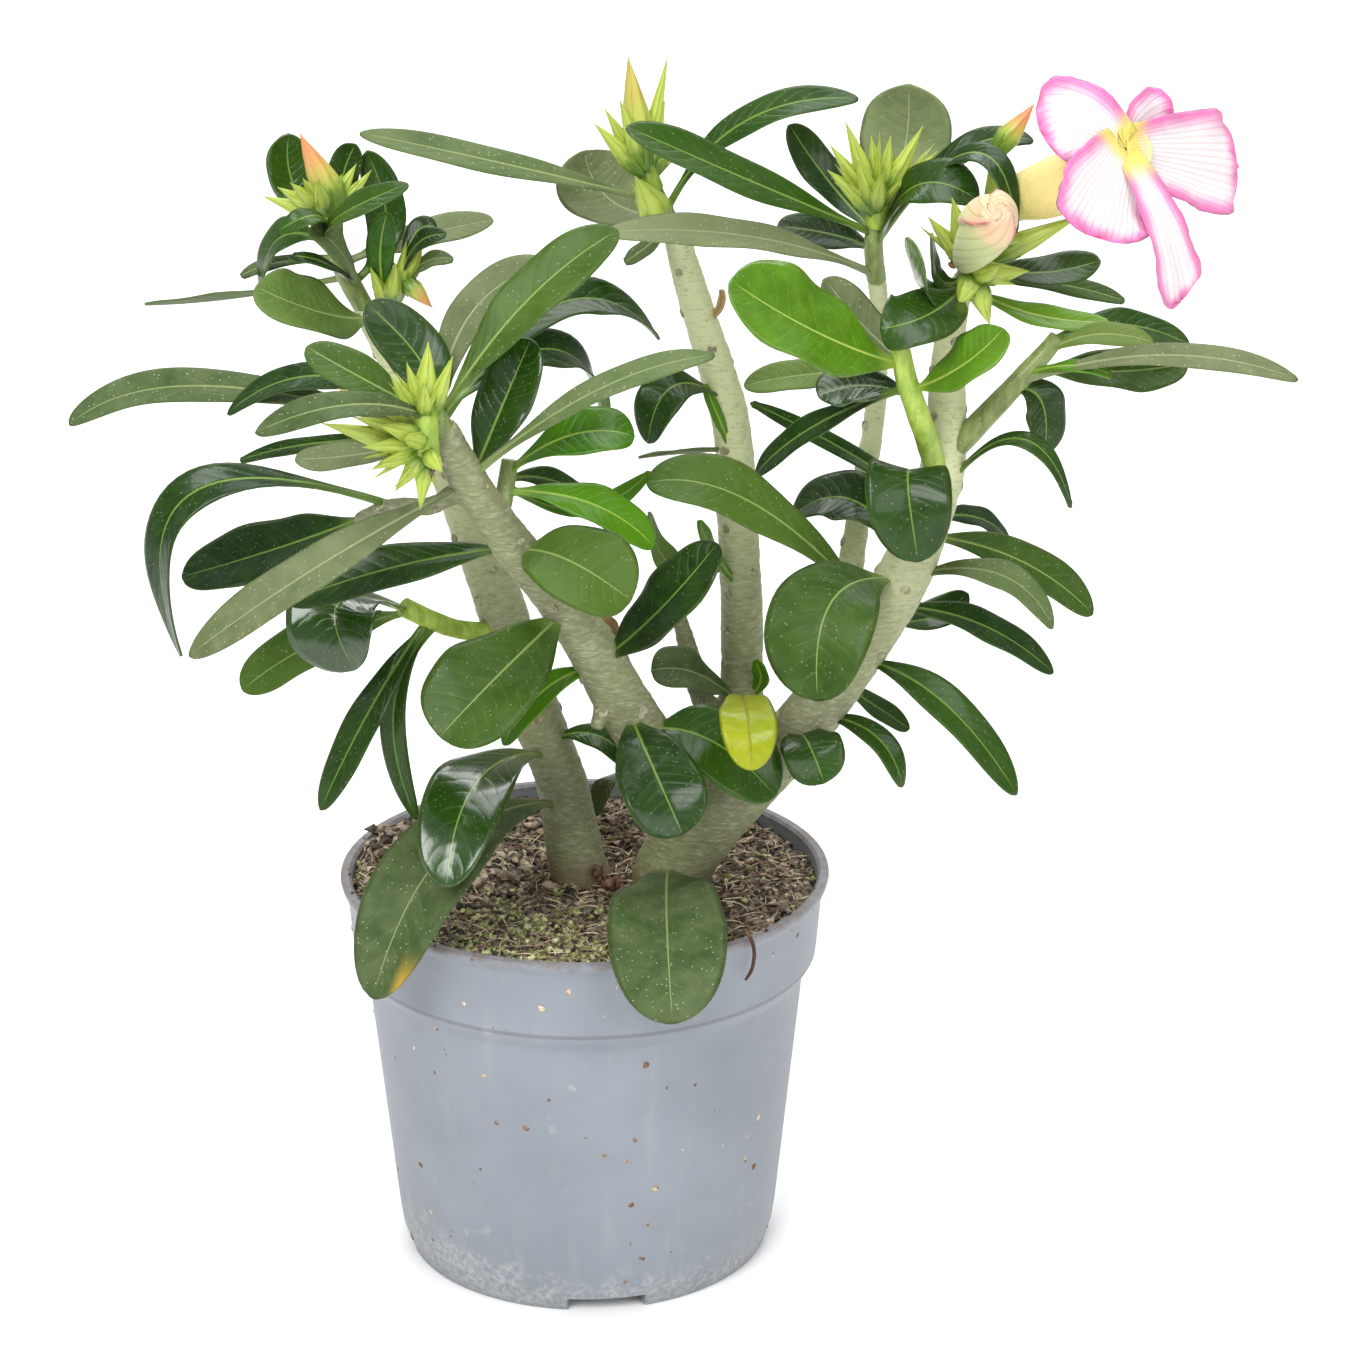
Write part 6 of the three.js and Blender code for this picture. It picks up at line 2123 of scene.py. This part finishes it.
RIGHT_SHOOT = Shoot(
    "shoot_right_fine",
    (((86, 203, -8, 6.2), (95, 213, -9, 5.5), (103, 222, -7, 5), (109, 229, -5, 4.4), (112, 233, -5, 4)),),
    (
        Leaf((106, 225.5, -6), (126, 224.5, 5), (143, 226.5, 7), 14, Look.FRESH),
        Leaf((103, 222, -7), (137, 228.5, -22), (169, 222.5, -25), 7.5, Look.GREY),
        Leaf((111, 232, -5), (126, 236, 7), (143, 231, 9), 9.5, Look.DARK),
        Leaf((109, 229, -5), (121, 233.5, -10), (134.5, 231.5, -12), 7, Look.PALE),
        Leaf((105, 224, -6.5), (116, 226, -14), (125, 223.5, -15), 4, Look.BRIGHT),
        Leaf((101, 220, -7.5), (108.5, 217.5, -8), (109.5, 204, -8), 11.5, Look.DARK),
    ),
)
YOUNG_SHOOT = Shoot(
    "shoot_young_fine",
    (((84.5, 200, -10, 5.6), (80.5, 212, -19, 5.4), (77, 222, -22, 5.2), (75, 231, -23, 4.4)),),
    (
        Leaf((76, 226, -22), (55.5, 234, -34), (35, 246.5, -38), 26, Look.LIME),
        Leaf((78, 220, -21.5), (90, 226, -30), (99.5, 235, -30), 13.5, Look.LIME),
        Leaf((76, 227, -22), (67, 235, -12), (57, 247, -10), 11, Look.GREY),
        Leaf((78, 219, -21), (66, 221, -16), (56, 218.5, -16), 12, Look.GLOSSY),
        Leaf((77.5, 221, -22), (55, 211, -14), (41.5, 199, -8), 8, Look.DARK),
    ),
    skin=LIME_STALK,
)
LOW_LEFT_SHOOT = Shoot(
    "shoot_low_left_fine",
    (((-17, 160, 8, 5), (-28, 160, 2, 4.6), (-36, 162.5, -4, 4.8), (-43, 166, -8, 5)),),
    (
        Leaf((-41, 165, -7), (-58.5, 167, -20), (-55, 150, -27), 23, Look.GLOSSY),
        Leaf((-41, 165, -7), (-64, 157, -2), (-82.5, 144.5, -4), 15, Look.FRESH),
        Leaf((-37, 163, -5), (-51, 141, -14), (-64.5, 113.5, -16), 9, Look.DARK),
        Leaf((-35, 162, -4), (-46, 140, -8), (-41, 111, -6), 6.5, Look.DARK),
    ),
    skin=LIME_STALK,
)
INNER_SHOOT = Shoot(
    "shoot_inner_fine",
    (((-20, 187, -34, 4.6), (-18.5, 194, -30, 4.4), (-17, 203, -28, 4)),),
    (
        Leaf((-17.5, 200, -28.5), (-2, 209, -36), (12.5, 208.5, -36), 13.5, Look.BRIGHT),
        Leaf((-18, 198, -29), (-8, 198, -20), (3, 192, -16), 7.5, Look.DARK),
        Leaf((-18.5, 195, -30), (2, 192, -33), (17, 181, -33), 11, Look.BRIGHT),
        Leaf((-18, 197, -29), (0, 190.5, -19), (16.5, 200, -15), 6, Look.BRIGHT),
    ),
)
UPPER_LEFT_BUDS = Bunch(
    "buds_upper_left_fine",
    (((-59, 260.5, 13, 5.4), (-59.5, 266, 11, 5.4)),),
    (
        Bud((-56, 263, 11), (-64.3, 281.5, 7), 7.8, blush=0.9),
        Bud((-60, 262, 10), (-73.5, 266.8, 6), 4),
        Bud((-60, 263, 9), (-70, 269, 4), 4),
        Bud((-60, 264, 9), (-67, 270, 2), 3.8),
        Bud((-59.5, 264, 10), (-64, 271, 3), 4),
        Bud((-59, 263, 10), (-61, 270.5, 1), 4),
        Bud((-58, 263, 12), (-55, 272, 11), 4),
        Bud((-58, 263, 13), (-51.5, 274.5, 14), 4.4),
        Bud((-57, 262, 13), (-48, 273, 13), 4),
    ),
)
FRONT_BUDS = Bunch(
    "buds_front_fine",
    (((-36, 219, -47, 5), (-37.5, 212, -51, 7), (-37, 204, -49, 6.5)),),
    (
        Bud((-37.5, 212, -50), (-45, 224, -54), 3.8),
        Bud((-37.5, 214, -49), (-41, 227, -52), 3.8),
        Bud((-37, 214, -49), (-35.8, 232, -49), 5.8),
        Bud((-36, 213, -49), (-30, 228.5, -52), 4.4),
        Bud((-37, 214, -50), (-37, 222, -60), 4.6),
        Bud((-37.5, 208, -50), (-42, 208, -63), 4.8),
        Bud((-37, 205, -50), (-33, 200, -60), 4.2),
        Bud((-38, 211, -51), (-50, 217.5, -57), 4.2),
        Bud((-37, 213, -51), (-57.5, 220.5, -54), 4.2, blush=0.4),
        Bud((-39, 206, -51), (-61.5, 212, -60), 5.4),
        Bud((-38, 209, -51), (-54, 213.5, -58), 4.4),
        Bud((-38, 209, -52), (-48, 211.5, -64), 4.6),
        Bud((-38, 207, -52), (-52, 206, -62), 4.4),
        Bud((-38, 206, -50), (-50, 200.5, -57), 4.4),
        Bud((-37, 205, -50), (-44.5, 195, -55), 4.4),
        Bud((-37, 204, -49), (-38.5, 190.5, -54), 4.4),
    ),
)
TOP_BUDS = Bunch(
    "buds_top_fine",
    (((17, 268.5, 13, 5.6), (14.5, 275, 11, 5.4)),),
    (
        Bud((15, 273, 11), (11.5, 299.5, 8), 7.8, blush=0.35),
        Bud((15, 273, 10), (9.5, 289.5, 4), 4.6),
        Bud((15, 272, 11), (6, 287.5, 10), 4.6),
        Bud((15, 272, 10), (3.5, 284, 7), 4.8),
        Bud((15, 272, 12), (20, 289.5, 12), 4.8),
        Bud((16, 271, 12), (23.5, 283.5, 16), 4.4),
    ),
)
RIGHT_TOP_BUDS = Bunch(
    "buds_right_top_fine",
    (((69, 260.5, 12, 5.4), (70, 266, 9, 5.4)),),
    (
        Bud((69, 263, 10), (57.5, 273, 1), 4.8),
        Bud((69, 264, 10), (58, 279, 4), 4.8),
        Bud((69, 265, 9), (61.5, 284.5, 3), 5),
        Bud((69, 264, 8), (64, 276, -4), 4.8),
        Bud((70, 265, 10), (67.5, 281, 5), 4.8),
        Bud((70, 265, 10), (72, 281, 8), 5),
        Bud((70, 265, 9), (79.5, 283.5, 8), 4.8),
        Bud((70, 264, 10), (83, 277.5, 6), 4.6),
        Bud((69, 264, 8), (70, 272, -6), 4.6),
    ),
)
FLOWER_SHOOT_BUDS = Bunch(
    "buds_flower_fine",
    (
        ((91, 252, -3, 5), (92.5, 247, -10, 5.6)),
        ((92, 250, -6, 3.6), (95, 264, 9, 3.2), (97, 278, 9, 3.6)),
    ),
    (
        Bud((91, 251, -6), (86.5, 266.5, -16), 6),
        Bud((91, 250, -6), (81, 262, -13), 5),
        Bud((92, 248, -9), (88.5, 240, -14), 5.6),
        Bud((92.5, 248, -9), (98, 250.5, -18), 5.6),
        Bud((92.5, 248, -9), (105, 249, -12), 5.6),
        Bud((92.5, 247, -9), (96, 236, -12), 5.6),
        Bud((93, 251, -3), (117, 262.5, -5), 6),
        Bud((96.5, 277, 9), (105, 288.5, 8), 5.8, blush=1.0),
    ),
)

SHOOTS = (
    UPPER_LEFT_SHOOT, UPPER_LEFT_SIDE_SHOOT, FRONT_SHOOT, TOP_SHOOT, RIGHT_TOP_SHOOT,
    FLOWER_SHOOT, RIGHT_SHOOT, YOUNG_SHOOT, LOW_LEFT_SHOOT, INNER_SHOOT,
)
BUNCHES = (UPPER_LEFT_BUDS, FRONT_BUDS, TOP_BUDS, RIGHT_TOP_BUDS, FLOWER_SHOOT_BUDS)

# Leaves that grow straight from the old wood, from the left round to the right

LONE_LEAVES = {
    "leaf_over_rim_left": Leaf((-5, 115, 4), (-33, 104, -37), (-53, 63, -57), 22, Look.TIPPED),
    "leaf_glossy_left": Leaf((-8.5, 128, 5), (-26, 121, -36), (-34, 93, -58), 19, Look.GLOSSY),
    "leaf_short_dark": Leaf((-9, 131, 5), (3, 133, -3), (13, 123, -6), 8, Look.DARK),
    "leaf_big_front": Leaf((-4, 165, -25), (-20, 149, -44), (-35, 132.5, -54), 25, Look.FRESH),
    "leaf_bright_narrow": Leaf((5, 151, -18.5), (-9, 145, -24), (-19.5, 130.5, -26), 8, Look.BRIGHT),
    "leaf_left_hook": Leaf((-46, 192, -31.5), (-93.5, 194, -34), (-97, 153.5, -38), 12, Look.DARK),
    "leaf_left_broad": Leaf((-51, 189, -29), (-72, 181, -20), (-96, 173.5, -16), 17, Look.DARK),
    "leaf_left_straight": Leaf((-27, 197, -38), (-62, 177, -54), (-95, 153.5, -52), 12, Look.GREY),
    "leaf_left_dark": Leaf((-16, 181, -32), (-43, 176.5, -34), (-71, 167, -37), 12.5, Look.DARK),
    "leaf_front_round": Leaf((-15, 180, -31), (-4, 178, -46), (11.5, 167.5, -50), 22, Look.FRESH),
    "leaf_inner_narrow": Leaf((-27, 198, -39), (3, 219.5, -46), (31.5, 228.5, -42), 7.5, Look.DUSTY),
    "leaf_inner_glossy": Leaf((-26, 198, -38.5), (-19, 215, -36.5), (-11.5, 232.5, -34), 14, Look.GLOSSY),
    "leaf_centre_dark": Leaf((4, 152, -19), (18, 164.5, -28), (32.5, 182, -28), 15.5, Look.DARK),
    "leaf_centre_low": Leaf((11, 139, -14), (17, 124, -36), (24, 107, -46), 20, Look.DARK),
    "leaf_centre_broad": Leaf((14, 134, -12), (30, 132, -22), (46.5, 117, -26), 20, Look.DARK),
    "leaf_middle_small": Leaf((38, 141, 10), (27, 149, -3), (16.5, 149.5, -6), 13, Look.DUSTY),
    "leaf_middle_low": Leaf((38, 171, 15), (31, 180, 4), (28, 188, 2), 6, Look.BRIGHT),
    "leaf_middle_brown": Leaf((38, 178, 16), (22, 176, 12), (16, 190, 10), 9, Look.PALE),
    "leaf_middle_left": Leaf((35, 217, 18), (22, 221, 6), (16, 207, 2), 12, Look.DARK),
    "leaf_middle_edge": Leaf((36, 206, 18), (24, 205, 12), (13.5, 203.5, 10), 6, Look.DUSTY, roll=50),
    "leaf_right_low_round": Leaf((52, 133, -6), (54.5, 131, -19), (58.5, 120.5, -24), 15, Look.DARK),
    "leaf_right_low": Leaf((55, 138, -7), (70, 133.5, -14), (77.5, 119.5, -16), 7, Look.DARK),
    "leaf_right_small": Leaf((61, 147, -8), (70, 141, -2), (79, 134.5, 0), 7, Look.DARK),
    "leaf_right_long": Leaf((65, 153, -8.5), (86, 142.5, -16), (105.5, 117.5, -18), 10.5, Look.DARK),
    "leaf_big_round": Leaf((76, 172.5, -9), (60, 167.5, -30), (57, 142, -38), 25.5, Look.FRESH),
    "leaf_right_dark": Leaf((71, 163, -9), (83, 163, 6), (92.5, 169.5, 10), 9, Look.DARK),
    "leaf_right_lower": Leaf((73, 166, -9), (94.5, 162, 0), (113.5, 149, 2), 9.5, Look.DARK),
    "leaf_right_arched": Leaf((77, 173, -9), (99, 174.5, -16), (113, 160.5, -18), 8.5, Look.DUSTY),
    "leaf_right_broad": Leaf((81, 184, -9), (104, 178, -6), (122.5, 164, -6), 12, Look.FRESH),
    "leaf_right_upper": Leaf((83, 188, -9), (94, 188.5, 3), (102, 182.5, 6), 8, Look.DARK),
    "leaf_right_hooked": Leaf((86, 196, -8), (104, 208, -18), (116.5, 191, -20), 5.5, Look.DARK),
    "leaf_right_face": Leaf((81, 195, -10), (77.5, 199, -27), (80.5, 177.5, -32), 20, Look.DARK),
    "leaf_long_centre": Leaf((71, 163.5, -9), (41.5, 191.5, -22), (15.5, 197, -24), 16, Look.FRESH),
    "leaf_dark_centre": Leaf((78, 178, -9), (64, 193, 3), (50, 188, 6), 16, Look.DARK),
    "leaf_narrow_right": Leaf((83, 190, -9), (66, 203, 2), (40, 217, 4), 5.5, Look.DARK),
    "leaf_pale_back": Leaf((69.8, 224, 23), (55, 224, 30), (38.5, 221, 32), 10, Look.PALE),
    "leaf_over_rim_front": Leaf((20.5, 98, -2), (20, 86, -46), (21.5, 56, -72), 28, Look.DUSTY),
    "leaf_back_arch": Leaf((21, 101, -2), (10, 123, 28), (3, 112, 40), 9, Look.GLOSSY),
    "yellow_leaf": Leaf((38, 143, 10), (39.5, 139.5, -27), (41, 124, -37), 13.5, Look.OLD),
}

# The bloom and the rolled bud: places across, up and behind, each with a width

FUNNEL = (
    (91.5, 252, -1, 4), (95.5, 259, 1, 5), (101, 265.5, 0, 10), (109, 268.5, -6, 13.5),
    (118, 272.5, -13, 13.5), (126, 277, -21, 12),
)
THROAT = (
    (114, 270.5, -10, 4), (121, 274, -16, 7), (128.5, 278.5, -24, 10),
)
PETALS = (
    Petal((125, 279.5, -20), (116, 284, -25), (106.5, 282, -24), 23),
    Petal((126.5, 279.5, -19.5), (131, 283.5, -15), (137, 285.5, -9), 17),
    Petal((127.5, 275.5, -20.5), (140, 275.5, -13), (152.5, 273.5, 2), 26),
    Petal((125.5, 277, -22), (122.5, 268.5, -35), (118.5, 257.5, -41), 29),
    Petal((127.5, 274, -21.5), (136, 259.5, -33.5), (140.5, 242, -28), 14),
)
ROLLED_BUD = (
    (90.5, 250.5, -2, 3.6), (90.5, 252, -11, 7), (93.5, 257, -21, 12), (96, 261.5, -30, 12.6),
    (97, 263.5, -36, 6.5),
)

# Small things that stand for no node of the frame

SPRIGS = {
    "sprout_fine": Leaf((40, 143, 9), (43, 147.5, 5), (41.5, 152.5, 4), 4.6, Look.BRIGHT, wave=2.0),
    "limb_sprig_fine": Leaf((35.5, 206, 15.5), (32.5, 213, 12.5), (29, 221.5, 12), 3.4, Look.BRIGHT),
    "dry_bract_fine": Leaf((8, 153, -19), (7, 160, -18), (2.5, 163.5, -17.5), 4.2, Look.DRY, wave=3.0),
    "flower_bract_fine": Leaf((91, 247.5, -2), (89, 250.5, -6), (86.5, 250, -9), 2.6, Look.DRY),
    "limb_stub_fine": Leaf((30, 237.5, 16), (32.8, 240.5, 14), (33.2, 244.5, 13), 2.6, Look.DRY),
}
SCABS = {
    "bud_scab_fine": ((-38.5, 206.5, -51), (-37, 203.5, -51.5), (-36.5, 200.5, -50.5), (-38, 198.5, -49.5)),
    "foot_scab_fine": ((3, 96.5, -6), (5, 92.5, -8), (7.5, 89.5, -9), (4.5, 88, -10), (9, 93, -6)),
}
HANGING_ROOT = (
    (39.5, 81.5, -45, 1.0), (41, 79, -46.3, 1.0), (41.8, 75.5, -45.6, 0.9), (41.2, 71, -45.2, 0.85),
    (39.6, 68, -45.6, 0.7),
)


# The studio


@dataclass(frozen=True)
class Lamp:
    """One square soft lamp that looks at a target. Its places and size are in metres, its power in watts."""

    name: str
    spot: Colour
    target: Colour
    size: float
    power: float

    def build(self) -> None:
        """Hangs the lamp."""
        light = bpy.data.lights.new(self.name, "AREA")
        light.shape = "SQUARE"
        light.size = self.size
        light.energy = self.power
        lamp = bpy.data.objects.new(self.name, light)
        lamp.location = self.spot
        aim = Vector(self.target) - Vector(self.spot)
        lamp.rotation_euler = aim.to_track_quat("-Z", "Y").to_euler()
        bpy.context.scene.collection.objects.link(lamp)


PLANT_MIDDLE = (0.02, 0.0, 0.16)
LAMPS = (
    Lamp("key", (-0.6, -1.3, 1.4), PLANT_MIDDLE, 1.0, 31.0),
    Lamp("fill", (0.9, -1.2, 0.9), PLANT_MIDDLE, 1.0, 11.0),
    Lamp("top", (0.1, 0.2, 1.8), PLANT_MIDDLE, 1.3, 21.0),
    Lamp("backdrop", (0.0, 2.0, 2.0), (0.0, 2.6, 0.0), 2.0, 60.0),
)


@dataclass
class Studio:
    """The pale floor, the soft lights and the camera at the photograph's angle, in metres."""

    lamps: tuple[Lamp, ...] = LAMPS
    floor_size: float = 12.0
    sky_strength: float = 0.44
    nearest_seen: float = 0.01

    def build(self, kit: Kit) -> None:
        """Sets up the floor, the sky, the lamps and the camera."""
        self.floor(kit)
        self.sky()
        for lamp in self.lamps:
            lamp.build()
        self.camera()

    def floor(self, kit: Kit) -> None:
        """A wide floor, which reaches past the view on every side."""
        half = self.floor_size / 2
        corners = [(-half, -half, 0), (half, -half, 0), (half, half, 0), (-half, half, 0)]
        mesh = bpy.data.meshes.new("studio_floor")
        mesh.from_pydata(corners, [], [(0, 1, 2, 3)])
        mesh.materials.append(kit.material(FloorFinish()))
        new_object("studio_floor", mesh)

    def sky(self) -> None:
        """A pale light from all round."""
        world = bpy.data.worlds.new("studio_sky")
        world.use_nodes = True
        background = world.node_tree.nodes["Background"]
        background.inputs["Color"].default_value = (1.0, 1.0, 1.0, 1.0)
        background.inputs["Strength"].default_value = self.sky_strength
        bpy.context.scene.world = world

    def camera(self) -> None:
        """The camera at the eye that the front view was measured from."""
        lens = bpy.data.cameras.new("front_view")
        lens.sensor_width = CAMERA_SENSOR_MM
        lens.lens = CAMERA_LENS_MM
        lens.clip_start = self.nearest_seen
        camera = bpy.data.objects.new("front_view", lens)
        camera.location = Vector((EYE_ACROSS, -EYE_DISTANCE, EYE_UP)) * MM
        camera.rotation_euler = (math.radians(90 - CAMERA_PITCH_DEG), 0, 0)
        bpy.context.scene.collection.objects.link(camera)
        bpy.context.scene.camera = camera
        bpy.context.scene.view_settings.view_transform = "Standard"


def single_leaf(kit: Kit, blade: LeafBlade, name: str, leaf: Leaf, seed: str) -> Object:
    """One leaf as a piece of its own, with small irregularities that its seed sets."""
    skin = Skin()
    blade.add(skin, leaf, kit.material(leaf.look.value), random.Random(seed))
    return skin.piece(name)


def main() -> None:
    """Builds the dressed desert rose, and hands each piece over."""
    logging.basicConfig(level=logging.INFO, format="%(message)s")
    kit = Kit()
    blade = LeafBlade()
    Studio().build(kit)
    hand_over(Pot().build(kit), "pot_plastic", "pot")
    soil = Soil()
    hand_over(soil.build(kit), "peat", "soil")
    hand_over(soil.litter(kit), "peat")
    for wood in WOODS:
        hand_over(wood.build(kit), "bark", wood.node)
    for shoot in SHOOTS:
        hand_over(shoot.build(kit, blade), "leaf", shoot.name.removesuffix("_fine"))
    for bunch in BUNCHES:
        hand_over(bunch.build(kit), "bud", bunch.name.removesuffix("_fine"))
    for name, leaf in LONE_LEAVES.items():
        slot = "leaf_yellow" if leaf.look is Look.OLD else "leaf"
        hand_over(single_leaf(kit, blade, name + "_fine", leaf, name), slot, name)
    for name, leaf in SPRIGS.items():
        hand_over(single_leaf(kit, blade, name, leaf, name), "leaf")
    for name, spots in SCABS.items():
        hand_over(scab(kit, name, spots), "bark")
    hand_over(Bloom(FUNNEL, THROAT, PETALS).build(kit), "petal", "bloom")
    hand_over(RolledBud(ROLLED_BUD).build(kit), "petal_bud", "rolled_bud")
    kit.put_away()


if __name__ == "__main__":
    main()
